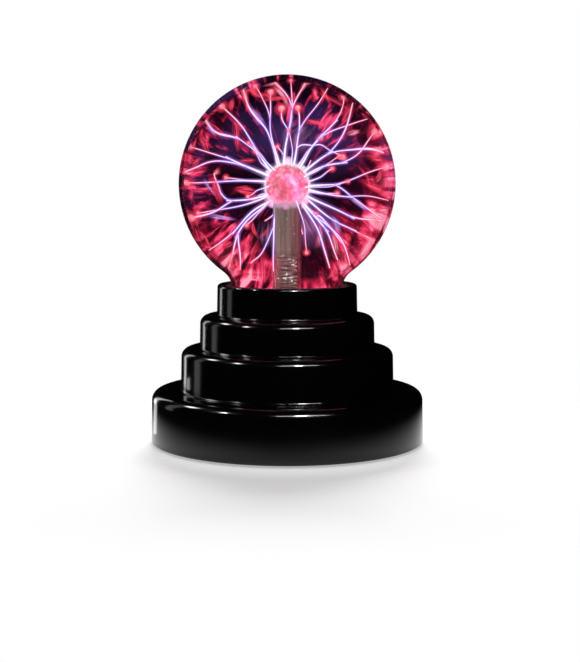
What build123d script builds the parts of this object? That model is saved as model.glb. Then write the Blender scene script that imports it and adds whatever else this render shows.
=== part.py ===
from build123d import *
import math
import os

os.makedirs("parts", exist_ok=True)

# Plasma ball on a stepped base. Millimetres, +Z up, front towards -Y.
# The origin is on the table, under the middle of the base.

# ---------------------------------------------------------------- clearances
running = 0.3      # between a moving piece and what it moves in
fit = 0.1          # round a piece that is pushed into its seat
shank_fit = 0.05   # round a screw's shank in its pilot hole

# ------------------------------------------------------------- globe and stem
globe_radius = 38.1
glass = 1.2              # wall of the globe
neck_radius = 19.5
neck_blend = 8.0         # hollow curve between the ball and its neck
flare_depth = 2.0        # the neck starts to widen this far below the rim
neck_tail = 7.0          # neck below the shelf
stem_radius = 5.0
stem_wall = 0.9
flare_height = 6.0       # the stem's foot widens to the neck over this height
flare_blend = 4.0
pip_radius = 1.6         # sealed end of the pumping tube
pip_length = 3.2
electrode_radius = 7.5
electrode_wall = 0.8
electrode_drop = 0.6     # electrode's centre below the globe's

# ------------------------------------------------ base shell: four drums, one moulding
foot_drop = 0.8          # height of the base above the table, on its feet
wall = 2.2
draft = 1.3              # degrees, so that the moulding leaves its tool
skirt_height = 18.4      # lowest drum
second_height = 14.8
third_height = 11.7
collar_height = 11.0
collar_land = 3.08       # between the neck and the collar's bore
third_step = 6.15        # tread of the third drum, round the collar
second_step = 6.8        # tread of the second drum, round the third
skirt_step = 10.65       # tread of the skirt, round the second drum
skirt_round = 3.5
drum_round = 3.0         # outer rounding of the two middle drums
collar_round = 1.1
valley_round = 0.7       # where a drum meets the top of the one below
shelf_drop = 3.5         # from the collar's rim down to the shelf round the neck
shelf_thickness = 2.0
neck_gap = 0.6           # between the shelf's hole and the neck

lean = math.tan(math.radians(draft))
skirt_top = foot_drop + skirt_height
second_top = skirt_top + second_height
third_top = second_top + third_height
rim_top = third_top + collar_height
skirt_ceiling = skirt_top - wall
second_ceiling = second_top - wall
third_ceiling = third_top - wall
shelf_top = rim_top - shelf_drop
shelf_bottom = shelf_top - shelf_thickness
# Radii at each drum's foot, built outwards from the neck.
collar_inner = neck_radius + collar_land
collar_radius = collar_inner + wall + lean * (collar_height - shelf_drop)
third_radius = collar_radius + third_step
second_radius = third_radius + second_step
skirt_radius = second_radius + skirt_step
skirt_inner = skirt_radius - wall
second_inner = second_radius - wall
third_inner = third_radius - wall

blend_start = rim_top - flare_depth
blend_rise = math.sqrt((globe_radius + neck_blend) ** 2 - (neck_radius + neck_blend) ** 2)
globe_z = blend_start + blend_rise
neck_bottom = shelf_bottom - neck_tail
electrode_z = globe_z - electrode_drop
stem_bore = stem_radius - stem_wall
stem_top = electrode_z - math.sqrt(electrode_radius ** 2 - stem_radius ** 2)
flare_bottom = neck_bottom - glass

# ------------------------------------------------------ inside the stem
terminal_rise = 8.0      # lead terminal above the neck's end
terminal_height = 2.8
terminal_radius = 3.6
coil_length = 12.0       # wire coil between the terminal and the lining
coil_radius = 3.3
coil_wire = 0.35
coil_pitch = 1.5
lining_radius = 3.7
lining_wall = 0.3
high_lead_radius = 0.9
high_lead_bend = 2.6

terminal_base = neck_bottom + terminal_rise
terminal_top = terminal_base + terminal_height
coil_base = terminal_top + fit
coil_top = coil_base + coil_length
lining_base = coil_top + fit

# ------------------------------------------------- cover, cells and battery door
cover_thickness = 2.0
cover_gap = 0.2
cell_count = 4
cell_radius = 5.25
cell_length = 44.5       # over the button
button_length = 1.0
button_radius = 1.9
cell_gap = 0.4
contact_space = 5.7      # left for the spring at a cell's flat end
contact_thickness = 0.4
contact_side = 8.4       # height of a contact plate
tray_wall = 1.5
roof_thickness = 1.4
divider_width = 1.4
divider_depth = 2.4
door_thickness = 1.6
door_tab_width = 6.0
door_tab_reach = 2.0
door_tab_thickness = 0.7
door_tab_place = 12.0    # from the middle line to each tab
latch_width = 8.0
latch_reach = 4.4        # latch leg beyond the tray's inner end
latch_leg = 1.2
latch_height = 3.6
catch_depth = 0.5
grip_length = 12.0
grip_width = 0.9
grip_depth = 0.5
foot_radius = 4.0
foot_seat = 0.8          # depth of a foot's recess
foot_edge = 0.5
foot_margin = 0.8        # between a foot's recess and the cover's edge
foot_angle = 55.0        # from the X axis

cell_pitch = 2 * cell_radius + cell_gap
tray_width = cell_count * cell_pitch
tray_length = cell_length + contact_space + 2 * contact_thickness
cover_radius = skirt_inner - cover_gap
cover_top = foot_drop + cover_thickness
door_top = foot_drop + door_thickness
cell_z = door_top + running + cell_radius
tray_ceiling = cell_z + cell_radius + cell_gap
tray_top = tray_ceiling + roof_thickness
tray_end = tray_length / 2
tab_ledge = door_top - door_tab_thickness - fit
hinge_z = tab_ledge
coil_space = contact_space - 2 * fit
tab_swing = 2.2          # height of the slot that a tab swings up into

# ------------------------------------------------------------------ screws
cover_screw_shank = 1.3
cover_screw_head = 2.6
cover_screw_head_height = 1.6
cover_screw_depth = 8.0  # thread in the boss
cover_screw_angle = 22.0 # from the X axis
boss_radius = 3.25
boss_margin = 0.5        # between a screw's cup and the skirt
cup_height = 1.6         # raised seat of each screw, inside the cover
cup_wall = 1.2
board_screw_shank = 0.9
board_screw_head = 1.9
board_screw_head_height = 1.3
board_screw_depth = 5.0
post_radius = 2.6
slot_width = 0.7         # driver slot in a screw's head
slot_depth = 0.6

# ------------------------------------------------------------- circuit board
board_lift = 7.0         # above the battery tray
board_thickness = 1.6
board_gap = 1.0          # between the board and the second drum
leg_radius = 0.25        # component legs
leg_hole = 0.45
leg_drop = 0.8           # leg left under the board

board_bottom = tray_top + board_lift
board_top = board_bottom + board_thickness
board_radius = second_inner - lean * second_height - board_gap
post_circle = board_radius - post_radius - 2 * shank_fit
leg_end = board_bottom - leg_drop

# ---------------------------------------------------------- rear controls
panel_setback = 4.0      # recess depth at the middle of the rear
recess_width = 28.0
recess_height = 9.0
recess_corner = 1.0
switch_x = -6.8
switch_travel = 4.0
knob_width = 3.6
knob_height = 4.0
knob_reach = 2.2         # beyond the recess floor
carrier_width = 5.4
carrier_height = 5.2
carrier_depth = 2.2
frame_thickness = 0.6
frame_ear = 4.0
switch_wall = 1.0
switch_floor = 1.4
switch_screw_shank = 0.9
switch_screw_head = 1.8
switch_screw_head_height = 1.0
switch_screw_depth = 1.5
terminal_pitch = 3.0
switch_pin_length = 2.6
switch_pin_width = 1.2
switch_pin_thickness = 0.5
socket_x = 9.2
socket_width = 9.0
socket_height = 6.6
socket_depth = 9.5
nose_radius = 2.9
socket_bore = 1.9
socket_bore_depth = 8.0
pin_radius = 0.65
pin_setback = 0.5        # tip of the pin behind the socket's face
pin_flange = 1.2
pin_flange_thickness = 0.5
lug_length = 1.8
side_contact_thickness = 0.4
side_contact_height = 1.8

panel_outer = skirt_radius - panel_setback
panel_inner = panel_outer - wall
panel_base = cover_top + 2 * cover_gap
control_z = (panel_base + skirt_ceiling) / 2
frame_back = panel_inner - frame_thickness
carrier_front = frame_back - fit
cavity_depth = carrier_depth + 2 * fit
switch_back = frame_back - cavity_depth - switch_floor
cavity_width = carrier_width + switch_travel + 2 * running
cavity_height = carrier_height + 2 * running
switch_width = cavity_width + 2 * switch_wall
switch_height = cavity_height + 2 * switch_wall
slot_span = knob_width + switch_travel + 2 * running
slot_height = knob_height + 2 * running
ear_place = switch_width / 2 + frame_ear / 2
socket_back = panel_inner - socket_depth
bore_floor = panel_outer - socket_bore_depth
# The knob stands at the "on" end of its travel.
knob_x = switch_x + switch_travel / 2


def rear_plane(y):
    """A plane that faces the front, at the given distance behind the axis; its local y is up."""
    return Plane.XZ.offset(-y)


def ring_of(radius, angles):
    """Points on a circle about the vertical axis, at the given angles in degrees."""
    return [(radius * math.cos(math.radians(a)), radius * math.sin(math.radians(a))) for a in angles]


def four_ways(angle):
    """The given angle and its mirror images in both middle planes."""
    return [angle, 180 - angle, 180 + angle, 360 - angle]


def round_wire(points, bends, radius):
    """A round wire along straight runs joined by tangent arcs."""
    with BuildPart() as wire:
        with BuildLine() as route:
            FilletPolyline(*points, radius=bends)
        with BuildSketch(Plane(origin=route.line @ 0, z_dir=route.line % 0)):
            Circle(radius)
        sweep(path=route.line)
    return wire.part


def coil_spring(start, direction, length, radius, pitch, wire_radius):
    """A helical spring whose whole length, over the wire, is the given one."""
    centre = Vector(*start) + Vector(*direction) * wire_radius
    with BuildPart() as spring:
        with BuildLine() as turns:
            Helix(pitch, length - 2 * wire_radius, radius, center=centre, direction=direction)
        with BuildSketch(Plane(origin=turns.line @ 0, z_dir=turns.line % 0)):
            Circle(wire_radius)
        sweep(path=turns.line, is_frenet=True)
    return spring.part


cup_radius = cover_screw_head + fit + cup_wall
cover_screw_spots = ring_of(skirt_inner - cup_radius - boss_margin, four_ways(cover_screw_angle))
board_screw_spots = ring_of(post_circle, [90, 210, 330])
foot_spots = ring_of(cover_radius - foot_radius - fit - foot_margin, four_ways(foot_angle))
boss_base = cover_top + cup_height

# =============================================================== base shell
# One glossy moulding: skirt, two middle drums and the collar, hollow inside, with bosses for
# the cover's screws, posts for the board, and a flat panel behind the recess at the rear.
drum_outline = [
    (0, foot_drop),
    (skirt_radius, foot_drop),
    (skirt_radius - lean * skirt_height, skirt_top),
    (second_radius, skirt_top),
    (second_radius - lean * second_height, second_top),
    (third_radius, second_top),
    (third_radius - lean * third_height, third_top),
    (collar_radius, third_top),
    (collar_radius - lean * collar_height, rim_top),
    (0, rim_top),
]
drum_rounds = [
    0, valley_round, skirt_round, valley_round, drum_round, valley_round, drum_round, valley_round,
    collar_round, 0,
]
hollow_outline = [
    (0, 0),
    (skirt_inner, 0),
    (skirt_inner - lean * skirt_height, skirt_ceiling),
    (second_inner, skirt_ceiling),
    (second_inner - lean * second_height, second_ceiling),
    (third_inner, second_ceiling),
    (third_inner - lean * third_height, third_ceiling),
    (collar_inner, third_ceiling),
    (collar_inner, shelf_bottom),
    (neck_radius + neck_gap, shelf_bottom),
    (neck_radius + neck_gap, shelf_top),
    (collar_inner, shelf_top),
    (collar_inner, rim_top + wall),
    (0, rim_top + wall),
]
inner_round = drum_round - wall
hollow_rounds = [0, 0, inner_round, 0, inner_round, 0, inner_round, 0, inner_round, 0, 0, 0, 0, 0]

with BuildPart() as base_shell:
    with BuildSketch(Plane.XZ):
        with BuildLine():
            FilletPolyline(*drum_outline, radius=drum_rounds, close=True)
        make_face()
    revolve(axis=Axis.Z)
    with BuildSketch(Plane.XZ):
        with BuildLine():
            FilletPolyline(*hollow_outline, radius=hollow_rounds, close=True)
        make_face()
    revolve(axis=Axis.Z, mode=Mode.SUBTRACT)
    fillet(base_shell.edges().filter_by(GeomType.CIRCLE).group_by(Axis.Z)[-1].sort_by(SortBy.RADIUS)[0], wall / 4)
    # Rear panel, and the recess in front of it.
    with BuildSketch(Plane.XY.offset(panel_base)):
        Circle(skirt_radius - wall / 2)
        with Locations((0, panel_inner + skirt_radius / 2)):
            Rectangle(2 * skirt_radius, skirt_radius, mode=Mode.INTERSECT)
    extrude(amount=skirt_ceiling + valley_round / 2 - panel_base)
    with BuildSketch(rear_plane(panel_outer)):
        with Locations((0, control_z)):
            RectangleRounded(recess_width, recess_height, recess_corner)
    extrude(amount=-2 * panel_setback, mode=Mode.SUBTRACT)
    with BuildSketch(rear_plane(panel_inner - wall)):
        with Locations((switch_x, control_z)):
            Rectangle(slot_span, slot_height)
        with Locations((socket_x, control_z)):
            Circle(nose_radius + fit)
    extrude(amount=-3 * wall, mode=Mode.SUBTRACT)
    with BuildSketch(rear_plane(panel_inner)):
        with Locations((switch_x - ear_place, control_z), (switch_x + ear_place, control_z)):
            Circle(switch_screw_shank + shank_fit)
    extrude(amount=-(switch_screw_depth + shank_fit), mode=Mode.SUBTRACT)
    # Bosses for the cover's screws.
    with BuildSketch(Plane.XY.offset(boss_base)):
        with Locations(*cover_screw_spots):
            Circle(boss_radius)
    extrude(amount=skirt_ceiling + wall / 2 - boss_base)
    with BuildSketch(Plane.XY.offset(boss_base)):
        with Locations(*cover_screw_spots):
            Circle(cover_screw_shank + shank_fit)
    extrude(amount=cover_screw_depth + shank_fit, mode=Mode.SUBTRACT)
    # Posts that the circuit board hangs from.
    with BuildSketch(Plane.XY.offset(board_top)):
        with Locations(*board_screw_spots):
            Circle(post_radius)
    extrude(amount=second_ceiling + wall / 2 - board_top)
    with BuildSketch(Plane.XY.offset(board_top)):
        with Locations(*board_screw_spots):
            Circle(board_screw_shank + shank_fit)
    extrude(amount=board_screw_depth + shank_fit, mode=Mode.SUBTRACT)
base_shell.part.label = "base_shell"
export_step(base_shell.part, "parts/base_shell.step")

# ============================================================ bottom cover
# A disc inside the skirt, moulded in one with the battery tray. The tray opens underneath.
latch_end = tray_end + latch_reach
pocket_end = latch_end + catch_depth + running
tab_spots = [-door_tab_place, door_tab_place]
divider_spots = [cell_pitch * (i - cell_count / 2) for i in range(1, cell_count)]
head_recess = boss_base - cup_wall - foot_drop
terminal_spots = [cell_pitch * (0.5 - cell_count / 2), cell_pitch * (cell_count / 2 - 0.5)]
tail_width = 2.4

with BuildPart() as bottom_cover:
    with BuildSketch(Plane.XY.offset(foot_drop)):
        Circle(cover_radius)
    extrude(amount=cover_thickness)
    with BuildSketch(Plane.XY.offset(foot_drop)):
        Rectangle(tray_length + 2 * tray_wall, tray_width + 2 * tray_wall)
    extrude(amount=tray_top - foot_drop)
    with BuildSketch(Plane.XY.offset(foot_drop)):
        Rectangle(tray_length, tray_width)
    extrude(amount=tray_ceiling - foot_drop, mode=Mode.SUBTRACT)
    # Ribs that keep the cells apart, hanging from the tray's roof.
    with BuildSketch(Plane.XY.offset(tray_ceiling - divider_depth)):
        with Locations(*[(0, y) for y in divider_spots]):
            Rectangle(tray_length * 0.6, divider_width)
    extrude(amount=divider_depth + roof_thickness / 2)
    # Slots in the roof for the tails of the two end contacts.
    with BuildSketch(Plane.XY.offset(tray_ceiling)):
        with Locations(*[(tray_end - contact_thickness / 2, y) for y in terminal_spots]):
            Rectangle(contact_thickness + 2 * fit, tail_width + 2 * fit)
    extrude(amount=roof_thickness, mode=Mode.SUBTRACT)
    # Pocket for the door's latch, and slots for its two tabs.
    with BuildSketch(Plane.XY.offset(foot_drop)):
        with Locations(((tray_end + pocket_end) / 2, 0)):
            Rectangle(pocket_end - tray_end, latch_width + 2 * running)
    extrude(amount=cover_thickness + fit, mode=Mode.SUBTRACT)
    with BuildSketch(Plane.XY.offset(tab_ledge)):
        with Locations(*[(-tray_end - door_tab_reach / 2 - running, y) for y in tab_spots]):
            Rectangle(door_tab_reach + 2 * running, door_tab_width + 2 * running)
    extrude(amount=door_tab_thickness + tab_swing, mode=Mode.SUBTRACT)
    # Raised cups for the cover's screws, with their heads sunk from below.
    with BuildSketch(Plane.XY.offset(foot_drop)):
        with Locations(*cover_screw_spots):
            Circle(cup_radius)
    extrude(amount=boss_base - foot_drop)
    with BuildSketch(Plane.XY.offset(foot_drop)):
        with Locations(*cover_screw_spots):
            Circle(cover_screw_head + fit)
    extrude(amount=head_recess, mode=Mode.SUBTRACT)
    with BuildSketch(Plane.XY.offset(foot_drop)):
        with Locations(*cover_screw_spots):
            Circle(cover_screw_shank + fit)
    extrude(amount=boss_base - foot_drop, mode=Mode.SUBTRACT)
    # Shallow seats for the rubber feet.
    with BuildSketch(Plane.XY.offset(foot_drop)):
        with Locations(*foot_spots):
            Circle(foot_radius + fit)
    extrude(amount=foot_seat, mode=Mode.SUBTRACT)
bottom_cover.part.label = "bottom_cover"
export_step(bottom_cover.part, "parts/bottom_cover.step")

# ============================================================= rubber feet
with BuildPart() as rubber_feet:
    with BuildSketch(Plane.XY):
        with Locations(*foot_spots):
            Circle(foot_radius)
    extrude(amount=foot_drop + foot_seat)
    fillet(rubber_feet.edges().group_by(Axis.Z)[0], foot_edge)
rubber_feet.part.label = "rubber_feet"
export_step(rubber_feet.part, "parts/rubber_feet.step")

# ============================================================ battery door
# A flat lid with two tabs at one end, which hook over the cover and are its hinge, and a
# latch leg at the other.
door_length = tray_length - 2 * running
door_width = tray_width - 2 * running
door_bevel = door_thickness - door_tab_thickness + fit
leg_x = latch_end - latch_leg / 2

with BuildPart() as battery_door:
    with BuildSketch(Plane.XY.offset(foot_drop)):
        Rectangle(door_length, door_width)
        with Locations(((door_length / 2 + latch_end) / 2 - latch_leg, 0)):
            Rectangle(latch_end - door_length / 2 + 2 * latch_leg, latch_width)
    extrude(amount=door_thickness)
    chamfer(battery_door.edges().group_by(Axis.Z)[0].sort_by(Axis.X)[0], door_bevel)
    with BuildSketch(Plane.XY.offset(door_top - door_tab_thickness)):
        with Locations(*[(-tray_end - door_tab_reach / 2 + running, y) for y in tab_spots]):
            Rectangle(door_tab_reach + 2 * running, door_tab_width)
    extrude(amount=door_tab_thickness)
    with BuildSketch(Plane.XY.offset(foot_drop)):
        with Locations((leg_x, 0)):
            Rectangle(latch_leg, latch_width)
    extrude(amount=door_thickness + latch_height)
    with BuildSketch(Plane.XY.offset(door_top + latch_height / 2)):
        with Locations((latch_end + catch_depth / 2, 0)):
            Rectangle(catch_depth, latch_width / 2)
    extrude(amount=latch_height / 4)
    # Grip grooves for a thumb, beside the latch.
    with BuildSketch(Plane.XY.offset(foot_drop)):
        with Locations(*[(tray_end - 3 * grip_width * i, 0) for i in range(1, 4)]):
            SlotOverall(grip_length, grip_width, rotation=90)
    extrude(amount=grip_depth, mode=Mode.SUBTRACT)
battery_door.part.label = "battery_door"
export_step(battery_door.part, "parts/battery_door.step")

# ============================================================ cover screws
head_top = foot_drop + head_recess

with BuildPart() as cover_screws:
    with BuildSketch(Plane.XY.offset(head_top - cover_screw_head_height)):
        with Locations(*cover_screw_spots):
            Circle(cover_screw_head)
    extrude(amount=cover_screw_head_height)
    with BuildSketch(Plane.XY.offset(head_top - cover_screw_head_height)):
        with Locations(*cover_screw_spots):
            Rectangle(1.4 * cover_screw_head, slot_width)
            Rectangle(slot_width, 1.4 * cover_screw_head)
    extrude(amount=slot_depth, mode=Mode.SUBTRACT)
    with BuildSketch(Plane.XY.offset(head_top)):
        with Locations(*cover_screw_spots):
            Circle(cover_screw_shank)
    extrude(amount=cup_wall + cover_screw_depth)
cover_screws.part.label = "cover_screws"
export_step(cover_screws.part, "parts/cover_screws.step")

# ============================================================== glass globe
# A ball and a neck, blended by a hollow curve, open at the neck's end.
def globe_section(inset):
    """Half section of the globe's outer or inner surface, closed along the axis."""
    ball = globe_radius - inset
    neck = neck_radius - inset
    blend = neck_blend + inset
    blend_x = neck + blend
    touch = Vector(blend_x, blend_start - globe_z) * (ball / (ball + blend))
    half_turn = math.atan2(-touch.Y, touch.X) / 2
    middle = (blend_x - blend * math.cos(half_turn), blend_start + blend * math.sin(half_turn))
    with BuildSketch(Plane.XZ) as section:
        with BuildLine():
            Line((0, neck_bottom), (neck, neck_bottom))
            Line((neck, neck_bottom), (neck, blend_start))
            ThreePointArc((neck, blend_start), middle, (touch.X, globe_z + touch.Y))
            ThreePointArc((touch.X, globe_z + touch.Y), (ball, globe_z), (0, globe_z + ball))
            Line((0, globe_z + ball), (0, neck_bottom))
        make_face()
    return section.sketch


globe_outside = globe_section(0)
globe_inside = globe_section(glass)

with BuildPart() as glass_globe:
    with BuildSketch(Plane.XZ):
        add(globe_outside)
        add(globe_inside, mode=Mode.SUBTRACT)
    revolve(axis=Axis.Z)
glass_globe.part.label = "glass_globe"
export_step(glass_globe.part, "parts/glass_globe.step")

# =============================================================== glass stem
# A tube from the electrode down to a flared foot that is sealed to the end of the neck. The
# pumping tube's sealed pip stands under the flare.
flare_start = neck_bottom + flare_height
stem_outline = [
    (stem_bore, stem_top),
    (stem_bore, flare_start - stem_wall),
    (neck_radius - 2 * glass, flare_bottom),
    (neck_radius, flare_bottom),
    (neck_radius, neck_bottom),
    (neck_radius - glass - fit, neck_bottom),
    (stem_radius, flare_start),
    (stem_radius, stem_top),
]
stem_rounds = [0, flare_blend, 0, 0, 0, 0, flare_blend, 0]
pip_circle = (stem_radius + neck_radius) / 2

with BuildPart() as glass_stem:
    with BuildSketch(Plane.XZ):
        with BuildLine():
            FilletPolyline(*stem_outline, radius=stem_rounds, close=True)
        make_face()
    revolve(axis=Axis.Z)
    with BuildSketch(Plane.XY.offset(flare_bottom - pip_length)):
        with Locations((pip_circle, 0)):
            Circle(pip_radius)
    extrude(amount=pip_length + flare_height / 2)
    fillet(glass_stem.edges().group_by(Axis.Z)[0], pip_radius * 0.9)
glass_stem.part.label = "glass_stem"
export_step(glass_stem.part, "parts/glass_stem.step")

# ============================================================ electrode ball
with BuildPart() as electrode_ball:
    with Locations((0, 0, electrode_z)):
        Sphere(electrode_radius)
        Sphere(electrode_radius - electrode_wall, mode=Mode.SUBTRACT)
    with BuildSketch(Plane.XY.offset(stem_top)):
        Circle(2 * electrode_radius)
    extrude(amount=-electrode_radius, mode=Mode.SUBTRACT)
electrode_ball.part.label = "electrode_ball"
export_step(electrode_ball.part, "parts/electrode_ball.step")

# ======================================================== conductive lining
with BuildPart() as conductive_lining:
    with BuildSketch(Plane.XY.offset(lining_base)):
        Circle(lining_radius)
        Circle(lining_radius - lining_wall, mode=Mode.SUBTRACT)
    extrude(amount=stem_top - fit - lining_base)
conductive_lining.part.label = "conductive_lining"
export_step(conductive_lining.part, "parts/conductive_lining.step")

# ============================================================= contact coil
contact_turns = coil_spring((0, 0, coil_base), (0, 0, 1), coil_length, coil_radius, coil_pitch, coil_wire)

with BuildPart() as contact_coil:
    add(contact_turns)
contact_coil.part.label = "contact_coil"
export_step(contact_coil.part, "parts/contact_coil.step")

# ============================================================ lead terminal
with BuildPart() as lead_terminal:
    with BuildSketch(Plane.XY.offset(terminal_base)):
        Circle(terminal_radius)
    extrude(amount=terminal_height)
    chamfer(lead_terminal.edges().group_by(Axis.Z)[0], terminal_height / 4)
lead_terminal.part.label = "lead_terminal"
export_step(lead_terminal.part, "parts/lead_terminal.step")

# =========================================================== neck adhesive
with BuildPart() as neck_adhesive:
    with BuildSketch(Plane.XY.offset(shelf_top)):
        Circle(collar_inner - fit)
        Circle(neck_radius + fit, mode=Mode.SUBTRACT)
    extrude(amount=shelf_drop / 2 - fit)
    fillet(neck_adhesive.edges().group_by(Axis.Z)[-1].sort_by(SortBy.RADIUS)[-1], wall / 4)
neck_adhesive.part.label = "neck_adhesive"
export_step(neck_adhesive.part, "parts/neck_adhesive.step")

# ============================================================== transformer
# A ferrite frame of two E halves round a bobbin with an upright winding.
core_x = -4.0
core_width = 20.0
core_depth = 6.0
core_bar = 3.0           # top, bottom and side limbs
core_leg = 6.0           # centre leg
window_height = 8.6
core_lift = 0.8          # bottom limb above the board
bobbin_wall = 0.7
flange_thickness = 0.8
flange_depth = 15.0
rail_depth = 2.0         # feet along the bottom flange's edges
winding_margin = 0.3
bobbin_pin_radius = 0.35
bobbin_pin_pitch = 4.0
winding_corner = 2.0

core_bottom = board_top + core_lift
window_bottom = core_bottom + core_bar
window_top = window_bottom + window_height
core_top = window_top + core_bar
window_width = (core_width - core_leg) / 2 - core_bar
flange_width = core_leg + 2 * (window_width - fit)
flange_bottom = window_bottom + fit
flange_top = window_top - fit
tube_side = core_leg + 2 * (fit + bobbin_wall)
winding_side = flange_width - 2 * winding_margin
rail_y = flange_depth / 2 - rail_depth / 2
bobbin_pin_spots = [(core_x + bobbin_pin_pitch * i, s * rail_y) for i in (-1, 0, 1) for s in (-1, 1)]

with BuildPart() as transformer_core:
    with BuildSketch(rear_plane(core_depth / 2)):
        with Locations((core_x, (core_bottom + core_top) / 2)):
            Rectangle(core_width, core_top - core_bottom)
        for side in (-1, 1):
            with Locations((core_x + side * (core_leg + window_width) / 2, (window_bottom + window_top) / 2)):
                Rectangle(window_width, window_height, mode=Mode.SUBTRACT)
    extrude(amount=core_depth)
    chamfer(transformer_core.edges().filter_by(Axis.Y).group_by(Axis.Z)[-1], 0.5)
transformer_core.part.label = "transformer_core"
export_step(transformer_core.part, "parts/transformer_core.step")

with BuildPart() as transformer_bobbin:
    with BuildSketch(Plane.XY.offset(flange_bottom)):
        with Locations((core_x, 0)):
            Rectangle(tube_side, core_depth + 2 * (fit + bobbin_wall))
    extrude(amount=flange_top - flange_bottom)
    for level in (flange_bottom, flange_top - flange_thickness):
        with BuildSketch(Plane.XY.offset(level)):
            with Locations((core_x, 0)):
                Rectangle(flange_width, flange_depth)
        extrude(amount=flange_thickness)
    with BuildSketch(Plane.XY.offset(board_top)):
        with Locations((core_x, rail_y), (core_x, -rail_y)):
            Rectangle(flange_width, rail_depth)
    extrude(amount=flange_bottom + flange_thickness / 2 - board_top)
    with BuildSketch(Plane.XY.offset(flange_bottom)):
        with Locations((core_x, 0)):
            Rectangle(core_leg + 2 * fit, core_depth + 2 * fit)
    extrude(amount=flange_top - flange_bottom, mode=Mode.SUBTRACT)
transformer_bobbin.part.label = "transformer_bobbin"
export_step(transformer_bobbin.part, "parts/transformer_bobbin.step")

with BuildPart() as transformer_winding:
    with BuildSketch(Plane.XY.offset(flange_bottom + flange_thickness)):
        with Locations((core_x, 0)):
            RectangleRounded(winding_side, flange_depth - 2 * winding_margin, winding_corner)
            Rectangle(tube_side, core_depth + 2 * (fit + bobbin_wall), mode=Mode.SUBTRACT)
    extrude(amount=flange_top - flange_bottom - 2 * flange_thickness)
transformer_winding.part.label = "transformer_winding"
export_step(transformer_winding.part, "parts/transformer_winding.step")

with BuildPart() as transformer_pins:
    with BuildSketch(Plane.XY.offset(leg_end)):
        with Locations(*bobbin_pin_spots):
            Circle(bobbin_pin_radius)
    extrude(amount=board_top - leg_end)
transformer_pins.part.label = "transformer_pins"
export_step(transformer_pins.part, "parts/transformer_pins.step")

# The insulated lead leaves the winding's top flange and climbs the stem to the terminal.
lead_start_y = flange_depth / 2 - high_lead_radius - winding_margin
lead_clear = 1.4         # straight stretch above the core before it turns
high_lead_points = [
    (core_x, lead_start_y, flange_top),
    (core_x, lead_start_y, core_top + lead_clear),
    (0, 0, flare_bottom + 2 * high_lead_radius),
    (0, 0, terminal_base),
]
high_lead = round_wire(high_lead_points, [high_lead_bend, high_lead_bend], high_lead_radius)

with BuildPart() as high_voltage_lead:
    add(high_lead)
high_voltage_lead.part.label = "high_voltage_lead"
export_step(high_voltage_lead.part, "parts/high_voltage_lead.step")

# ===================================================== board components
# Axial pieces lie flat: (x, y, direction of the body in degrees).
resistor_spots = [(-8, 17, 0), (-8, 21, 0), (-8, 25, 0), (-22, 6, 90)]
resistor_radius = 1.2
resistor_length = 6.3
diode_spots = [(-22, -7, 90), (-18, -12, 90)]
diode_radius = 1.35
diode_length = 5.0
leg_run = 1.8            # wire beyond each end of an axial body
leg_bend = 0.7
capacitor_spots = [(15, -13), (17, 0)]
capacitor_radius = 4.0
capacitor_height = 11.0
capacitor_pitch = 3.5
film_spot = (12, 12)
film_length = 8.0
film_width = 4.0
film_height = 7.0
film_pitch = 5.0
transistor_spot = (-2, -12.5)
transistor_width = 10.0
transistor_depth = 3.2
transistor_height = 9.0
tab_thickness = 1.3
tab_height = 15.0
transistor_lift = 2.5
transistor_pitch = 2.5
sink_thickness = 1.5
sink_width = 18.0
sink_depth = 9.0
sink_height = 16.0
sink_screw_shank = 1.2
sink_screw_head = 2.5
sink_screw_head_height = 1.6


def axial_wires(spots, body_length, radius):
    """Bent legs of the axial pieces that lie at the given spots, and the holes they need."""
    wires = []
    holes = []
    for x, y, angle in spots:
        along = Vector(1, 0).rotate(Axis.Z, angle)
        for side in (-1, 1):
            near = Vector(x, y) + along * (side * body_length / 2)
            far = near + along * (side * leg_run)
            wire_z = board_top + radius
            points = [(near.X, near.Y, wire_z), (far.X, far.Y, wire_z), (far.X, far.Y, leg_end)]
            wires.append(round_wire(points, [leg_bend], leg_radius))
            holes.append((far.X, far.Y))
    return wires, holes


resistor_wires, resistor_holes = axial_wires(resistor_spots, resistor_length, resistor_radius)
diode_wires, diode_holes = axial_wires(diode_spots, diode_length, diode_radius)
upright_holes = [(x + s * capacitor_pitch / 2, y) for x, y in capacitor_spots for s in (-1, 1)]
upright_holes += [(film_spot[0] + s * film_pitch / 2, film_spot[1]) for s in (-1, 1)]
transistor_holes = [(transistor_spot[0] + transistor_pitch * i, transistor_spot[1]) for i in (-1, 0, 1)]

with BuildPart() as resistors:
    for x, y, angle in resistor_spots:
        with Locations(Location((x, y, board_top + resistor_radius), (0, 0, angle)) * Rot(0, 90, 0)):
            Cylinder(resistor_radius, resistor_length)
    fillet(resistors.edges().filter_by(GeomType.CIRCLE), resistor_radius / 3)
resistors.part.label = "resistors"
export_step(resistors.part, "parts/resistors.step")

with BuildPart() as diodes:
    for x, y, angle in diode_spots:
        with Locations(Location((x, y, board_top + diode_radius), (0, 0, angle)) * Rot(0, 90, 0)):
            Cylinder(diode_radius, diode_length)
diodes.part.label = "diodes"
export_step(diodes.part, "parts/diodes.step")

with BuildPart() as component_legs:
    for wire in resistor_wires + diode_wires:
        add(wire)
    with BuildSketch(Plane.XY.offset(leg_end)):
        with Locations(*upright_holes):
            Circle(leg_radius)
    extrude(amount=board_top - leg_end)
component_legs.part.label = "component_legs"
export_step(component_legs.part, "parts/component_legs.step")

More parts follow.
